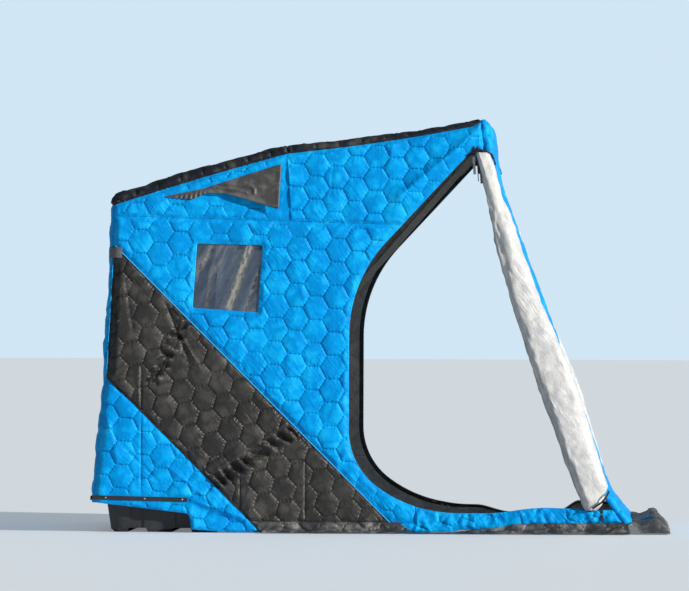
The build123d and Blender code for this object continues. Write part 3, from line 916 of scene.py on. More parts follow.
def upper_quiet(plan):
    return (1 - inside_field(plan, hood_field, 8)) * (1 - inside_field(plan, smooth_strip, 6))


def upper_shape(plan, edge):
    more = ripple(turned(plan, -10), (90, 260), 63) * 2.5 * ease(edge, 0, 40)
    more -= 12 * rear_groove(plan) * ease(edge, 10, 40)
    return more * (1 - inside_field(plan, hood_field, 8))


upper_folds = [
    ((480, 1968), (60, 1606), 30, 22.0, 0.3),
    ((-452, 1830), (-436, 1520), 5, 4.5),
    ((-1200, 1590), (-1290, 1560), 14, 4.0),
    ((60, 1900), (30, 1760), 14, 4.0),
    ((-230, 1800), (-250, 1600), 9, -3.0),
]
quilted_piece("upper_quilt", panel_loops("right_upper_panel"), side_place,
              ((-1186, 1543), -2.4), *blue_quilting, rings=fine_rings, shape=upper_shape,
              quiet=upper_quiet, seed=22, both=True, stands_for=["upper_panel"], hem=16, rows=(5, 12),
              folds=upper_folds)


patch_corners = [(-679, 56), (-679, 352), (-364, 352), (-364, 56)]
patch_field = np.array(patch_corners, dtype=float)
crumpled_belts = [
    ((-835, 215), (-400, 505), 54, 60, 54),
    ((-1110, 715), (-935, 1050), 46, 54, 48),
]


def stripe_quiet(plan):
    under_tab = (np.abs(plan[:, 1] - (tab_low + tab_high) / 2) < 36) & (plan[:, 0] < -1246)
    return 1.0 - under_tab


def stripe_shape(plan, edge):
    more = ripple(turned(plan, -45), (60, 260), 64) * 3 + ripple(plan, (200, 200), 65) * 3
    more = more * ease(edge, 0, 35)
    rise_share = 0.78
    for start, end, width, pitch, depth in crumpled_belts:
        start, way, left, length = line_frame(start, end)
        along = (plan - start) @ way + ripple(plan, (90, 90), 67) * 26
        off = (plan - start) @ left
        count = (along + 0.55 * off) / pitch
        part = count % 1.0
        step = np.where(part < rise_share, part / rise_share, (1 - part) / (1 - rise_share))
        size = 0.55 + 0.6 * scatter(np.stack([np.floor(count), count * 0], axis=1), 68)
        belt = 1 - ease(np.abs(off), 0.4 * width, width * (0.9 + 0.3 * ripple(plan, (50, 50), 69)))
        belt = belt * ease(along, 0, 30) * (1 - ease(along, length - 30, length))
        more += (step - 0.5) * depth * size * belt * ease(edge, 0, 12)
    within = ease(plan[:, 1], 745, 800) * (1 - ease(plan[:, 1], 1290, 1325)) * ease(edge, 0, 5)
    more -= 29 * rear_groove(plan) * within
    rim = loops_gap(plan, [patch_field])
    patch = 1.8 * inside_field(plan, patch_field, 1.5) - 4.5 * np.exp(-((rim / 4) ** 2))
    return (more + patch * (plan[:, 1] > 70)) * stripe_quiet(plan)


stripe_folds = [
    ((-860, 205), (-470, 470), 12, -9),
    ((-800, 300), (-440, 545), 10, 6),
    ((-960, 260), (-700, 420), 9, -7),
    ((-1050, 1130), (-930, 830), 10, -10),
    ((-1010, 1030), (-870, 790), 8, 6),
    ((-880, 1120), (-820, 980), 8, -9),
    ((-930, 1060), (-1000, 900), 8, -8),
    ((-1030, 870), (-1110, 720), 8, -8),
    ((-1161, 800), (-1161, 190), 5, -8),
    ((-1174, 800), (-1174, 190), 8, 4),
    ((-1240, 1230), (-1200, 980), 9, -6),
    ((-590, 700), (-510, 610), 8, -7),
    ((-450, 560), (-380, 470), 8, -6),
]
stripe_folds += [(start, end, 4, -1) for start, end in zip(patch_corners, patch_corners[1:])]
quilted_piece("stripe_quilt", panel_loops("right_stripe_panel"), side_place, ((-1139, 1057), 12),
              *black_quilting, rings=close_rings, shape=stripe_shape, quiet=stripe_quiet, seed=23,
              both=True, stands_for=["stripe_panel"], hem=10, loft=8, pucker=3, rows=(5, 10),
              folds=stripe_folds)


def tuck(plan, start, end, width, depth):
    """Cloth that falls back below a line, from its full height to the depth over a width."""
    start, way, left, length = line_frame(start, end)
    along, below = (plan - start) @ way, (start - plan) @ left
    fade = ease(along, 0, 0.2 * length) * (1 - ease(along, 0.85 * length, 1.05 * length))
    drop = ease(below, 0, width * 0.35) * (1 - ease(below, width * 0.5, width * 1.6))
    return -depth * drop * fade


def lower_quiet(plan):
    off_line = np.abs(plan[:, 1] - batten_line(plan[:, 0]))
    return 1 - (1 - ease(off_line, 12, 24)) * (1 - ease(plan[:, 0], -932, -915))


def lower_shape(plan, edge):
    more = ripple(turned(plan, -20), (60, 200), 66) * 3.5 * ease(edge, 0, 40)
    more += tuck(plan, (-915, 150), (-640, 55), 40, 9)
    return more * lower_quiet(plan)


lower_folds = [
    ((-1161, 560), (-1161, 190), 4, -5),
    ((-1320, 560), (-1270, 330), 12, 4),
    ((-1040, 330), (-800, 130), 10, 5),
    ((-925, 163), (-640, 66), 12, 10, 0.5),
    ((-1250, 420), (-1080, 250), 9, -5),
    ((-960, 400), (-860, 300), 8, 4),
]
quilted_piece("lower_quilt", panel_loops("right_lower_panel"), side_place, ((-1147, 434), -5),
              *blue_quilting, rings=fine_rings, shape=lower_shape, quiet=lower_quiet, seed=24,
              both=True, stands_for=["lower_panel"], hem=12, pucker=3.0, rows=(5, 10),
              folds=lower_folds)

# Sill: the low strip of blue quilting under each doorway. Nothing pulls it straight, so
# it is crumpled all along, and its lower edge dips to the ice behind the stripe.
sill_foot = [(52, 50), (98, 4), (240, 7), (360, 12), (400, 22), (545, 26), (640, 38), (754, 48),
             (921, 50), (1041, 54), (1172, 58)]


def sill_loops():
    """The sill's own top edge, closed by a foot that dips to the ice."""
    loop, top_height = panel_loops("right_sill_panel")[0], 52.5
    area = (loop[:, 0] * np.roll(loop[:, 1], -1) - loop[:, 1] * np.roll(loop[:, 0], -1)).sum()
    if area < 0:
        loop = loop[::-1]
    high = loop[:, 1] > top_height
    start = next(k for k in range(len(loop)) if high[k] and not high[k - 1])
    top = np.roll(loop, -start, axis=0)
    top = top[top[:, 1] > top_height]
    return [np.concatenate([top, [(170, 53)], np.array(sill_foot, dtype=float)])]


def sill_shape(plan, edge):
    more = np.abs(ripple(turned(plan, 35), (26, 60), 71)) * 11 - 3
    more += ripple(turned(plan, -25), (20, 70), 72) * 5 + ripple(plan, (90, 60), 73) * 5
    return more * ease(edge, 0, 10)


quilted_piece("sill_quilt", sill_loops(), side_place, ((120, 60), -20), *blue_quilting,
              rings=fine_rings, shape=sill_shape, seed=25, both=True, stands_for=["sill_panel"], hem=8,
              loft=4, rows=(4,))

# Piping: a bright blue cord in the stripe's upper seam, a black one in its lower seam,
# and a thick black one where each door hinges at the top of the front wall.
def tube(path, radius, around=8):
    """Round cord along a line of points, capped at both ends."""
    path = np.asarray(path, dtype=float)
    way = unit(np.gradient(path, axis=0))
    side = unit(np.cross(way, (0.13, 0.98, 0.11)))
    over = np.cross(side, way)
    turns = np.arange(around) * 2 * math.pi / around
    rings = [path + radius * (side * math.cos(t) + over * math.sin(t)) for t in turns]
    faces = ring_faces(len(path), around)
    faces.append(tuple(range(around - 1, -1, -1)))
    faces.append(tuple((len(path) - 1) * around + j for j in range(around)))
    return np.stack(rings, axis=1).reshape(-1, 3), faces


def side_path(corners, lift, step=12.0):
    """Line of points along a broken line drawn on the right-hand side."""
    line = [np.array(corners[0], dtype=float)]
    for corner in corners[1:]:
        span = np.array(corner, dtype=float) - line[-1]
        count = max(1, int(np.linalg.norm(span) / step))
        start = line[-1]
        line.extend(start + span * k / count for k in range(1, count + 1))
    line = np.array(line)
    return side_place(line, np.full(len(line), float(lift)))


black_piping = plain_thread("black_piping", (0.012, 0.012, 0.014))
bright_piping = plain_thread("bright_piping", (0.03, 0.52, 0.95))
hinge_line = [(450, 1848), (478, 1860), (512, 1856), (536, 1840), (550, 1810), (554, 1788)]
cords = [
    ("stripe_upper_piping", [(-1297, 1399), (48, 54)], 2.6, 1.0, bright_piping, "blue_quilt"),
    ("stripe_lower_piping", [(-1318, 748), (-575, 5)], 2.2, 1.0, black_piping, "black_quilt"),
    ("hinge_piping", hinge_line, 4.6, 24, black_piping, "black_quilt"),
]
for name, corners, radius, lift, material, slot in cords:
    points, faces = tube(side_path(corners, lift), radius)
    make_pair(name, points, faces, [material], slot)

# Windows: clear vinyl lapped behind a cut in the quilting and stitched round. It is
# rolled and creased from storage, so it shows hazy streaks and wavy reflections.
vinyl, tree, shader, place = new_material("clear_vinyl", Roughness=0.16)
tilted = node(tree, "ShaderNodeMapping", Vector=place, Rotation=(0, math.radians(-22), 0)).outputs[0]
streaks = speckle(tree, tilted, 7, 3, 0.5, (1.8, 1, 0.2))
marks = speckle(tree, tilted, 34, 3, 0.6, (1.4, 1, 0.4))
both_marks = sums(tree, "ADD", times(tree, streaks, 0.7), times(tree, marks, 0.3))
# Painted highlight: opaque pale tan bands are painted on the vinyl along the lines where the sunlit hoop
# tubes show through, with dark dashes at their edges.
painted_hoop_band = node(tree, "ShaderNodeAttribute", {"attribute_name": "painted_hoop_band"}).outputs["Fac"]
broken = ramp(tree, speckle(tree, tilted, 60, 3, 0.7, (1.5, 1, 0.8)), [(0.40, 0.25), (0.50, 1.0)])
hoop_highlight = times(tree, painted_hoop_band, broken)
haze = ramp(tree, both_marks, [(0.40, 0.46), (0.52, 0.56), (0.66, 0.88)])
tree.links.new(sums(tree, "MAXIMUM", haze, painted_hoop_band), shader.inputs["Alpha"])
# Painted shade: the clear and cloudy tints are dark slate blue and stand for the shaded interior seen
# through the vinyl. The milky tint is the vinyl's own haze.
clear, cloudy, milky = (0.035, 0.058, 0.105), (0.075, 0.105, 0.155), (0.27, 0.27, 0.26)
tint = ramp(tree, both_marks, [(0.4, clear), (0.54, cloudy), (0.66, milky)])
shown = blend(tree, "MIX", hoop_highlight, tint, (0.34, 0.33, 0.29))
outline = ramp(tree, painted_hoop_band, [(0.2, 0.0), (0.5, 1.0), (0.85, 0.0)])
chips = ramp(tree, speckle(tree, tilted, 85, 2, 0.6), [(0.50, 0.0), (0.55, 1.0)])
coat(tree, shader, blend(tree, "MIX", times(tree, outline, chips), shown, (0.02, 0.026, 0.04)))
waviness = speckle(tree, tilted, 9, 2, 0.5, (1.6, 1, 0.4))
relief(tree, shader, [(waviness, 0.02), (creases(tree, place, 30), 0.003)])


def grid_shares(first, second):
    """Both coordinates of every point of a grid, row by row."""
    first, second = np.meshgrid(first, second, indexing="ij")
    return first.ravel(), second.ravel()


def between(start, end, share):
    return start * (1 - share[..., None]) + end * share[..., None]


def grid_pair(name, outer, inner, rows, columns, material, slot, stands_for=None, **sheet):
    """Closed sheet between two grids of points, on the right, with its mirror on the left."""
    count = rows * columns
    corners = [i * columns + j for i in range(rows - 1) for j in range(columns - 1)]
    faces = [(a, a + 1, a + columns + 1, a + columns) for a in corners]
    rim = [(0, j) for j in range(columns)] + [(i, columns - 1) for i in range(1, rows)]
    rim += [(rows - 1, j) for j in range(columns - 2, -1, -1)] + [(i, 0) for i in range(rows - 2, 0, -1)]
    rim = [i * columns + j for i, j in rim]
    faces += [tuple(count + k for k in reversed(face)) for face in faces]
    faces += [(b, a, a + count, b + count) for a, b in zip(rim, rim[1:] + rim[:1])]
    pair = make_pair(name, np.concatenate([outer, inner]), faces, [material], slot)
    for side, piece in zip(sides, pair):
        if stands_for:
            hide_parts(f"{side}_{stands_for}")
    return pair


def corner_of(loop, way):
    return loop[np.argmax(loop @ np.array(way))]


vinyl_loop = panel_loops("right_window")[0]
corners = [corner_of(vinyl_loop, way) for way in ((-1, 1), (1, 1), (-1, -1), (1, -1))]
size = 60
up, across = grid_shares(np.linspace(0, 1, size), np.linspace(0, 1, size))
flat_plan = between(between(corners[2], corners[3], across), between(corners[0], corners[1], across), up)
middle = np.sin(math.pi * across) * np.sin(math.pi * up)
wavy = middle * (ripple(turned(flat_plan, 25), (70, 260), 81) * 4 + ripple(flat_plan, (50, 50), 82) * 1.5)
vinyl_back = 841.0
outer = np.column_stack([flat_plan[:, 0], -vinyl_back - 1.2 - wavy, flat_plan[:, 1]])
inner = outer + (0, 0.9, 0)
# Lines of the painted highlight bands where the sunlit hoop shows through: start, end, width and strength.
hoop_highlight_lines = [
    ((-638, 1391), (-742, 1076), 20, 1.0),
    ((-590, 1275), (-662, 1070), 9, 0.55),
    ((-795, 1400), (-880, 1285), 13, 0.4),
    ((-810, 1276), (-852, 1080), 9, 0.35),
]
painted_hoop_band = np.zeros(len(flat_plan))
for start, end, width, strength in hoop_highlight_lines:
    gap = line_gap(flat_plan, np.array([start], dtype=float), np.array([end], dtype=float))
    painted_hoop_band = np.maximum(painted_hoop_band, strength * np.exp(-((gap / width) ** 4)))
panes = grid_pair("vinyl", outer, inner, size, size, vinyl, "clear_vinyl", "window",
                  flat=(0.359, 0.355), held="stretched")
for piece in panes:
    add_layer(piece, "painted_hoop_band", painted_hoop_band)

# Vent hood: a stiff dark grey flap over a netted vent, sewn along its top edge and
# propped off the wall at its front corner. It narrows to gathered pleats at the rear.
hood_cloth = woven("hood_cloth", (0.060, 0.059, 0.058), (0.100, 0.098, 0.096), (0.14, 0.135, 0.13),
                   (0.2, 0.19, 0.18), (1.0, 0.97, 0.92), rough=0.4, crumple=0.8)
net_cloth = woven("net_cloth", (0.006, 0.006, 0.007), (0.010, 0.010, 0.011), (0.02, 0.02, 0.02),
                  (0.02, 0.02, 0.02), (1.0, 1.0, 1.0))


def along_line(corners, share):
    """Points at shares of the length of a broken line."""
    corners = np.array(corners, dtype=float)
    steps = run_along(corners)
    return np.stack([np.interp(share * steps[-1], steps, corners[:, k]) for k in (0, 1)], axis=1)


def ridge(plan, corners, width, height):
    """Rounded ridge along a broken line."""
    corners = np.array(corners, dtype=float)
    return height * np.exp(-((line_gap(plan, corners[:-1], corners[1:]) / width) ** 2))


hood_rows, hood_columns = 34, 110
down, run = grid_shares(np.linspace(0, 1, hood_rows), np.linspace(0, 1, hood_columns))
hood_plan = between(along_line(hood_top, run), along_line(hood_lip, run), down)
stand = 40 * np.clip((run - 0.05) / 0.95, 0, 1) ** 0.85 * down**1.15
swell = 9 * np.sin(math.pi * down) * run
pleats = np.sin(run * 150) * 4.2 * ease(run, 0.05, 0.14) * (1 - ease(run, 0.3, 0.42)) * down
hook = ridge(hood_plan, [(-780, 1692), (-700, 1688), (-634, 1682), (-612, 1668), (-613, 1646)], 6.0, 7.5)
hook += ridge(hood_plan, [(-790, 1672), (-700, 1664), (-650, 1652)], 5.5, 6.0)
fold = ridge(hood_plan, [(-520, 1735), (-760, 1655)], 14, -8.0)
border = np.maximum(ease(down, 0.90, 0.92), ease(run, 0.965, 0.975)) * 1.2
loose = ripple(hood_plan, (60, 30), 91) * 2.0 * np.sin(math.pi * np.clip(down, 0, 1))
lift = 4 + stand + swell + pleats + hook + fold * down + border + loose
outer = np.column_stack([hood_plan[:, 0], -half_width - lift, hood_plan[:, 1]])
grid_pair("hood", outer, outer + (0, 2.2, 0), hood_rows, hood_columns, hood_cloth, "hood_cloth", "vent_hood",
          flat=(0.60, 0.25), held="stretched", area=0.056)
net_rows, net_columns = 8, 40
down, run = grid_shares(np.linspace(0.02, 1.0, net_rows), np.linspace(0.3, 0.985, net_columns))
net_plan = between(along_line(hood_top, run), along_line(hood_lip, run), down)
outer = np.column_stack([net_plan[:, 0], np.full(len(net_plan), -half_width - 3.0), net_plan[:, 1]])
grid_pair("vent_net", outer, outer + (0, 1.0, 0), net_rows, net_columns, net_cloth, "hood_cloth",
          flat=(0.40, 0.22), held="stretched", area=0.045)

# Doorway zip: slate webbing sewn behind the hem of each doorway, with moulded teeth
# along its free edge. It falls inward along the foot, and the left-hand sill sags.
zip_tape = woven("zip_tape", (0.024, 0.032, 0.044), (0.038, 0.050, 0.068), (0.055, 0.068, 0.088),
                 (0.1, 0.12, 0.15), (1.0, 1.0, 1.0), rough=0.5, crumple=0.5)
zip_teeth = moulded_plastic("zip_teeth", (0.010, 0.010, 0.011), (0.03, 0.03, 0.032), 0.3)
zip_loop = panel_loops("right_door_zip")[0]
zip_loop = np.roll(zip_loop, -int(np.argmax(zip_loop[:, 1])), axis=0)
foot_index = int(np.argmax(zip_loop[:, 0]))
tape_sides = [zip_loop[: foot_index + 1], np.concatenate([zip_loop[foot_index + 1 :], zip_loop[:1]])[::-1]]
tape_steps = 620
first, second = (along_line(edge, np.linspace(0, 1, tape_steps)) for edge in tape_sides)
if first[tape_steps // 3, 0] > second[tape_steps // 3, 0]:
    first, second = second, first
lanes = 5
tape_plane = -844.0
upright_share = [(300, 1), (414, 0.75), (545, 0.45), (640, 0.08), (880, 0.08), (910, 0.3), (980, 0.45)]


def leaned(root, tip):
    """Free edge of the tape, which leans into the hut along the foot of the doorway."""
    upright = np.interp(root[:, 0], *np.transpose(upright_share))
    upright = np.where(root[:, 1] < 400, upright, 1.0)
    width = np.linalg.norm(tip - root, axis=1)
    end = root + (tip - root) * upright[:, None]
    return np.column_stack([end[:, 0], tape_plane + width * np.sqrt(1 - upright**2), end[:, 1]])


sewn_edge = np.insert(first, 1, tape_plane, axis=1)
lane_shares = np.linspace(0, 1, lanes)[:, None]
outer = between(sewn_edge[None], leaned(first, second)[None], lane_shares).reshape(-1, 3)
outer[:, 1] += ripple(outer[:, [0, 2]], (60, 60), 95) * 0.8
tape_length = run_along((first + second) / 2)[-1] * mm
grid_pair("zip_tape", outer, outer + (0, 1.6, 0), lanes, tape_steps, zip_tape, "zip_tape", "door_zip",
          flat=(float(tape_length), 0.021), held="stretched")


def block_layout():
    """Signs and insets of a bevelled box's 24 points, and its 26 faces seen from outside."""
    signs = np.repeat([(a, b, c) for a in (-1, 1) for b in (-1, 1) for c in (-1, 1)], 3, axis=0)
    inset = np.tile(1 - np.eye(3), (8, 1))
    faces = []
    for facing in np.array(list(np.ndindex(3, 3, 3))) - 1:
        held = np.flatnonzero((signs * facing >= 0).all(axis=1) & ((1 - inset) @ np.abs(facing) > 0))
        if len(held):
            spots = (signs * (2 - inset))[held]
            spots = spots - spots.mean(axis=0)
            turns = np.arctan2(spots @ np.cross(facing, spots[0]), spots @ spots[0])
            faces.append(tuple(held[np.argsort(turns)].tolist()))
    return signs, inset, faces


block_signs, block_inset, block_faces = block_layout()


def block(centre, axes, size):
    """Box with bevelled edges; axes are its three directions."""
    reach = np.array(size) / 2 - min(size) * 0.22 * block_inset
    return centre + (block_signs * reach) @ np.array(axes), block_faces


teeth = []
tooth_pitch, tooth_size = 7.0, (5.0, 3.4, 3.6)
tooth_shares = np.linspace(0.003, 0.997, int(tape_length / mm / tooth_pitch))
tips, roots = along_line(second, tooth_shares), along_line(first, tooth_shares)
for tip, root, end in zip(tips, roots, leaned(roots, tips)):
    out = unit(end - (root[0], tape_plane, root[1]))
    way = unit(tip - root)
    along = np.array((-way[1], 0, way[0]))
    teeth.append(block(end - out + (0, 0.6, 0), (out, np.cross(along, out), along), tooth_size))
points, faces = gather(teeth)
make_pair("zip_teeth", points, faces, [zip_teeth], "zip_tape", smooth=False)
sag, sag_starts, sag_ends, sag_below = 0.40, (0.43, 0.62), (0.86, 0.96), 0.2
for name in ("left_sill_quilt", "left_sill_quilt_stitches", "left_zip_tape", "left_zip_teeth"):
    mesh = bpy.data.objects[name].data
    points = np.zeros(len(mesh.vertices) * 3)
    mesh.vertices.foreach_get("co", points)
    points = points.reshape(-1, 3)
    share = sag * ease(points[:, 0], *sag_starts) * (1 - ease(points[:, 0], *sag_ends))
    points[:, 2] *= 1 - share * (points[:, 2] < sag_below)
    mesh.vertices.foreach_set("co", points.ravel())
    mesh.update()

# Zip pulls: two sliders parked at the top corner of each doorway, each with a ring and a
# hanging tab, and one at the foot of the rolled door.
tab_metal, tree, shader, place = new_material("tab_metal", Metallic=0.9, Roughness=0.35)
coat(tree, shader, ramp(tree, speckle(tree, place, 200, 3), [(0.3, 0.30), (0.7, 0.5)]))
black_metal = moulded_plastic("black_metal", (0.012, 0.012, 0.013), (0.03, 0.03, 0.03), 0.3)
upright = np.eye(3)


def slider_parts(x, z, tab_top, tab_foot, pointed=False):
    """Body with its ring, and hanging tab with ridges and perhaps a pointed end, of one pull."""
    ring_points, ring_width, ring_lap = 20, 4.5, 3
    body = [block((x, -855.0, z), upright, (15, 7, 22)), block((x, -860.0, z + 2), upright, (7, 5, 15))]
    turns = np.linspace(0, 2 * math.pi, ring_points)
    drop = (z - 4 + tab_top) / 2
    reach = (z - 4 - tab_top) / 2 + ring_lap
    ring = [x + ring_width * np.sin(turns), np.full(ring_points, -861.0), drop + reach * np.cos(turns)]
    body.append(tube(np.column_stack(ring), 1.1, 6))
    cos, sin = math.cos(math.radians(4)), math.sin(math.radians(4))
    axes = ((cos, 0, sin), upright[1], (-sin, 0, cos))
    length = tab_top - tab_foot
    tab_parts = [block((x + 2, -860.5, (tab_top + tab_foot) / 2), axes, (12.5, 3.2, length))]
    for k in range(6):
        height = tab_top - length * (0.25 + 0.1 * k)
        tab_parts.append(block((x + 2, -862.4, height), axes, (9, 1.4, 3.4)))
    if pointed:
        tab_parts.append(block((x + 2, -860.5, tab_foot - 17), axes, (4, 2.4, 38)))
    return body, tab_parts


dark_parts, bright_parts = slider_parts(450, 1872, 1828, 1742)
for body, tab_parts in (slider_parts(470, 1868, 1838, 1744, True), slider_parts(1075, 112, 96, 60)):
    dark_parts += body + tab_parts
pulls = {"zip_pull_bodies": (dark_parts, black_metal), "zip_pull_tabs": (bright_parts, tab_metal)}
for name, (parts, material) in pulls.items():
    one_side = gather(parts)
    points, faces = gather([one_side, mirrored(*one_side)])
    make_piece(name, points, faces, [material], "zip_metal", smooth=False)
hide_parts("zip_pulls")

# Corner tabs: folded grey webbing sewn over the rear corners, to hold a tie-down.
webbing, tree, shader, place = new_material("grey_webbing", Roughness=0.7)
diagonal = {"bands_direction": "DIAGONAL"}
wave = node(tree, "ShaderNodeTexWave", diagonal, Vector=place, Scale=160.0, Distortion=0.6)
rows_wave = node(tree, "ShaderNodeTexWave", {"bands_direction": "Z"}, Vector=place, Scale=220.0)
ribs = times(tree, wave.outputs["Fac"], rows_wave.outputs["Fac"])
coat(tree, shader, ramp(tree, ribs, [(0.1, (0.10, 0.105, 0.11)), (0.9, (0.20, 0.205, 0.21))]))
relief(tree, shader, [(ribs, 0.0006), (speckle(tree, place, 60, 3), 0.001)])
tab_rows, tab_columns = 12, 44
radius = edge_turn + rear_turn_extra
tab_start = 8
tab_reach = radius * math.pi / 2 + 12
up, run = grid_shares(np.linspace(tab_low, tab_high, tab_rows), np.linspace(0, tab_reach, tab_columns))
rear = np.interp(up, rear_z[1:], rear_x[1:])
turn = np.clip((run - tab_start) / radius, 0, math.pi / 2)
past = np.maximum(0, run - tab_start - radius * math.pi / 2)
wave_lift = ripple(np.stack([run, up], axis=1), (30, 40), 97) * 0.8
tab_skins = []
for lift in (4.4 + wave_lift, 1.4 + wave_lift):
    x = rear + radius * (1 - np.cos(turn)) + past - lift * np.cos(turn)
    y = radius - half_width - (radius + lift) * np.sin(turn) + np.maximum(0, tab_start - run)
    tab_skins.append(np.column_stack([x, y, up]))
tabs = grid_pair("corner_tab", *tab_skins, tab_rows, tab_columns, webbing, "grey_webbing",
                 flat=(tab_reach * mm, 0.052), held="stretched")
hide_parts("corner_tabs")

# Skirts: black cloth left loose at the foot of the sides and along the front, to be
# banked with snow. It carries the stripe's quilting down and lies in crumpled folds.
# The skirt cloth is paler than the stripe's black cloth, most of all on its crests: painted highlight
# standing for sunlit facets.
skirt_cloth = woven("skirt_cloth", (0.042, 0.043, 0.045), (0.085, 0.085, 0.088), (0.19, 0.19, 0.188),
                    (0.12, 0.12, 0.115), (1.0, 0.98, 0.95), rough=0.4, gloss=0.5, crumple=1.8)
skirt_quilting = ([skirt_cloth, skirt_cloth], "skirt_cloth", black_thread)
skirt_rear, skirt_front, skirt_top = -575, 1212, 56
side_section = np.array([(851, skirt_top), (853, 42), (858, 27), (870, 15), (890, 10), (928, 9)])
section_run = run_along(side_section)


def along_section(section, steps, run, height):
    """Points down a cross-section, pushed off it by a height along its normal."""
    here, ahead, behind = (np.stack([np.interp(run + push, steps, section[:, k]) for k in (0, 1)], axis=1)
                           for push in (0, 2, -2))
    way = unit(ahead - behind)
    return here[:, 0] - way[:, 1] * height, here[:, 1] + way[:, 0] * height


def skirt_place(plan, height):
    run = skirt_top - plan[:, 1]
    out, z = along_section(side_section, section_run, run, height)
    tucked = np.interp(plan[:, 0], (95, 165, 240, 372, 560, 660), (1, 0.12, 0.12, 0.2, 0.6, 1))
    z = z * tucked
    folds = ripple(np.stack([plan[:, 0], run * 0.5], axis=1), (75, 60), 98) * 9 * ease(run, 6, 50)
    return np.column_stack([plan[:, 0], -(out + folds), np.maximum(z, 0.8 + 0.02 * height)])


def skirt_shape(plan, edge):
    facets = np.abs(ripple(turned(plan, 30), (38, 60), 99)) * 9 - 3
    facets += ripple(turned(plan, -40), (26, 50), 100) * 4
    return facets * ease(edge, 0, 10) * ease(skirt_top - plan[:, 1], 0, 22)


skirt_foot = skirt_top - section_run[-1]
skirt_loop = np.array([(skirt_rear - 51, skirt_top), (skirt_rear, 5), (skirt_rear, skirt_foot),
                       (skirt_front, skirt_foot), (skirt_front, skirt_top)], dtype=float)
quilted_piece("skirt_cloth", [skirt_loop], skirt_place, ((-1139, 1057), 12), *skirt_quilting,
              rings=fine_rings, shape=skirt_shape, seed=26, both=True, stands_for=["skirt"], hem=8,
              loft=7, pucker=3, rows=(4,), held="gathered")
front_section = np.array([(1211, 60), (1222, 58), (1262, 55), (1300, 66), (1328, 80), (1350, 66), (1366, 44),
                          (1404, 11), (1409, 7)], dtype=float)
front_section_run = run_along(front_section)


def front_skirt_place(plan, height):
    x, z = along_section(front_section, front_section_run, plan[:, 0], height)
    lie = ripple(np.stack([plan[:, 0] * 0.6, plan[:, 1]], axis=1), (90, 130), 101) * 10
    z = z + lie * ease(plan[:, 0], 20, 90) * (1 - ease(plan[:, 0], 190, 250))
    z = z + (8 - z) * ease(np.abs(plan[:, 1]), 760, 845) * ease(plan[:, 0], 12, 60)
    return np.column_stack([x, plan[:, 1], np.maximum(z, 0.8 + 0.02 * height)])


def front_skirt_shape(plan, edge):
    facets = np.abs(ripple(turned(plan, 25), (60, 46), 102)) * 12 - 4
    facets += np.abs(ripple(turned(plan, -50), (34, 60), 103)) * 7
    return facets * ease(edge, 0, 12)


front_reach = front_section_run[-1]
front_loop = np.array([(0, -half_width), (front_reach, -half_width), (front_reach, half_width),
                       (0, half_width)], dtype=float)
quilted_piece("front_skirt_cloth", [front_loop], front_skirt_place, ((0, 0), 90), *skirt_quilting,
              shape=front_skirt_shape, seed=27, stands_for=["front_skirt"], hem=8, loft=3, pucker=3,
              rows=(5,), held="gathered")

# Rolled doors: each door is unzipped and rolled up, lining outward, from the sill's front
# end to the hinge, and stays as a long limp roll down the front edge of its doorway.
door_lining = woven("door_lining", (0.49, 0.495, 0.50), (0.57, 0.565, 0.555), (0.61, 0.60, 0.58),
                    (0.5, 0.5, 0.48), (1.0, 0.98, 0.95), rough=0.42, gloss=0.4, crumple=1.5)
roll_edges = [(1848, 463, 534, 32), (1753, 490, 571, 46), (1647, 511, 594, 54), (1582, 524, 625, 58),
              (1476, 545, 665, 62), (1359, 571, 701, 66), (1223, 609, 759, 70), (1126, 636, 793, 72),
              (1005, 673, 848, 74), (798, 741, 944, 76), (651, 793, 994, 76), (352, 904, 1086, 70),
              (234, 949, 1122, 62), (150, 982, 1090, 46), (118, 995, 1052, 30)]
roll_ridge = [(1848, 0.15), (1753, 0.2), (1582, 0.4), (1390, 0.46), (1223, 0.26), (1100, 0.16), (352, 0.15),
              (118, 0.3)]
roll_turns, columns_per_turn, roll_levels = 3.2, 30, 120


def roll_outline(ridge):
    """Cross-section of the roll, closed, in shares of its width and thickness."""
    top = 2 * ridge - 1
    left = [(-1.0, 0.12), (-1.0, 0.60), (-0.96, 0.67), (-0.91, 0.69)]
    right = [(0.45, 0.80), (0.88, 0.48), (1.0, 0.2), (0.8, 0.02)]
    line = np.array([*left, (top - 0.10, 0.95), (top + 0.06, 1.0), *right, (0, 0), (-0.85, 0.02)])
    for _ in range(2):
        ahead = np.roll(line, -1, axis=0)
        line = np.stack([line * 0.75 + ahead * 0.25, line * 0.25 + ahead * 0.75], axis=1).reshape(-1, 2)
    closed = np.concatenate([line, line[:1]])
    shares = np.interp(np.linspace(0, 1, columns_per_turn + 1), (0, 0.42, 0.8, 1), (0, 0.18, 0.6, 1))
    return along_line(closed, shares)[:-1]


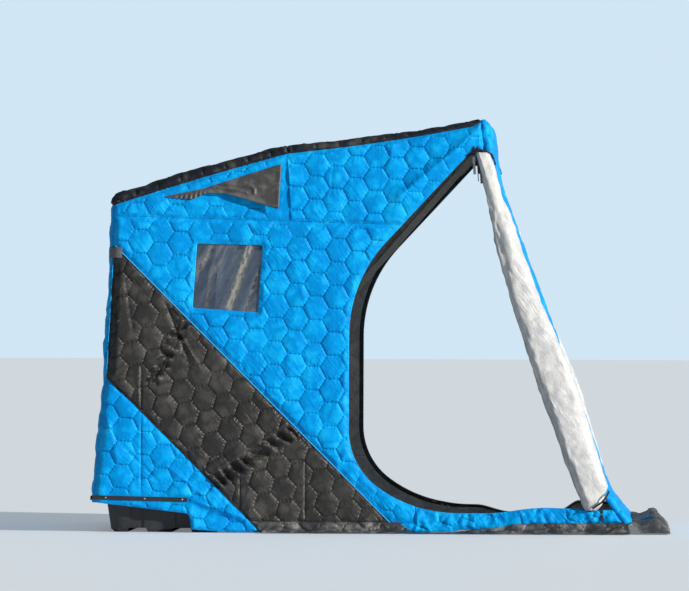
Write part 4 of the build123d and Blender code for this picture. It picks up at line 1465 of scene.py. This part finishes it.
levels = np.linspace(roll_edges[0][0], roll_edges[-1][0], roll_levels)
edge_table = np.array(roll_edges[::-1], dtype=float)
ridge_table = np.array(roll_ridge[::-1], dtype=float)
column_count = int(roll_turns * columns_per_turn)
turn_share = np.arange(column_count) / columns_per_turn
inward = 1 - 0.62 * turn_share / roll_turns + 0.05 * np.exp(-turn_share / 0.02)
roll_middle, door_face, cloth_thick = np.array((0.0, 0.45)), 852, 1.8
skins = [[], []]
for z in levels:
    left, right, thick = (np.interp(z, edge_table[:, 0], edge_table[:, k]) for k in (1, 2, 3))
    line = roll_outline(float(np.interp(z, ridge_table[:, 0], ridge_table[:, 1])))
    line = line[np.arange(column_count) % columns_per_turn]
    line = roll_middle + (line - roll_middle) * inward[:, None]
    x = (left + right) / 2 + line[:, 0] * (right - left) / 2
    depth = line[:, 1] * thick
    way = unit(np.stack([np.gradient(x), np.gradient(depth)], axis=1))
    plan = np.stack([turn_share * (right - left) * 2.2, np.full(column_count, z)], axis=1)
    wrinkle = ripple(plan, (46, 170), 111) * 4.0 + ripple(turned(plan, 25), (24, 80), 112) * 2.6
    wrinkle += (np.abs(ripple(turned(plan, -32), (40, 60), 113)) - 0.3) * 6.0
    wrinkle += (np.abs(ripple(turned(plan, 55), (22, 50), 114)) - 0.3) * 4.0 * (turn_share % 1 < 0.45)
    end_fade = 0.45 + 0.55 * np.clip((levels[0] - z) / 250, 0, 1)
    wrinkle *= end_fade * (1 - 0.65 * ease(turn_share, 0.9, 1.3))
    for skin, push in zip(skins, (wrinkle, wrinkle - cloth_thick)):
        reach = np.maximum(depth + way[:, 0] * push, -1)
        skin.append(np.column_stack([x - way[:, 1] * push, -door_face - reach, plan[:, 1]]))
outer, inner = (np.concatenate(skin) for skin in skins)
grid_pair("rolled_door", outer, inner, roll_levels, column_count, door_lining, "white_lining", "door_roll",
          flat=(1.25, 1.78), held="folded", area=1.42)
foot_cord = [(1030, 128), (1052, 142), (1075, 158), (1096, 182), (1108, 208)]
points, faces = tube(side_path(foot_cord, 58, 6.0), 5.0)
make_pair("door_piping", points, faces, [black_piping], "black_quilt")

# Floor, light and camera: a pale floor, one broad sun-like lamp from the front right and
# an even sky, with the camera far off on the right-hand side, a little low.
floor, tree, shader, place = new_material("pale_floor", Base_Color=(0.78, 0.81, 0.84), Roughness=0.6,
                                          Emission_Color=(0.88, 0.95, 1.0))
seen_ray = tree.nodes.new("ShaderNodeLightPath").outputs["Is Camera Ray"]
tree.links.new(times(tree, seen_ray, 0.2), shader.inputs["Emission Strength"])
mesh = bpy.data.meshes.new("floor")
far = 300
mesh.from_pydata([(-far, -far, 0), (far, -far, 0), (far, far, 0), (-far, far, 0)], [], [(0, 1, 2, 3)])
mesh.materials.append(floor)
ground = bpy.data.objects.new("floor", mesh)
bpy.context.scene.collection.objects.link(ground)

world = bpy.data.worlds.new("sky")
world.use_nodes = True
tree = world.node_tree
sky = tree.nodes["Background"]
connect(tree, sky.inputs, ((0.72, 0.86, 1.0), 0.30))
seen = node(tree, "ShaderNodeBackground", Color=(0.64, 0.79, 0.91), Strength=1.0)
camera_ray = tree.nodes.new("ShaderNodeLightPath").outputs["Is Camera Ray"]
mixed = tree.nodes.new("ShaderNodeMixShader")
connect(tree, mixed.inputs, (camera_ray, sky.outputs[0], seen.outputs[0]))
tree.links.new(mixed.outputs[0], tree.nodes["World Output"].inputs["Surface"])
bpy.context.scene.world = world
lamp = bpy.data.lights.new("sun", "SUN")
lamp.energy = 4.55
lamp.angle = math.radians(2)
lamp.color = (1.0, 0.96, 0.9)
sun = bpy.data.objects.new("sun", lamp)
sun.rotation_euler = Vector((1.45, -0.85, 0.5)).to_track_quat("Z", "Y").to_euler()
bpy.context.scene.collection.objects.link(sun)

view_turn = math.radians(2.4)
view_distance = 30.0
target = Vector((-0.1749, -0.85, 1.1535))
lens = bpy.data.cameras.new("camera")
lens.lens = 323.3
lens.sensor_width = 36.0
lens.clip_end = 1000.0
camera = bpy.data.objects.new("camera", lens)
eye = target + view_distance * Vector((math.sin(view_turn), -math.cos(view_turn), 0))
eye.z = 0.93
camera.location = eye
roll = Matrix.Rotation(math.radians(0.2), 3, "Z")
camera.rotation_euler = ((eye - target).to_track_quat("Z", "Y").to_matrix() @ roll).to_euler()
bpy.context.scene.collection.objects.link(camera)
bpy.context.scene.camera = camera
bpy.context.scene.view_settings.view_transform = "Standard"
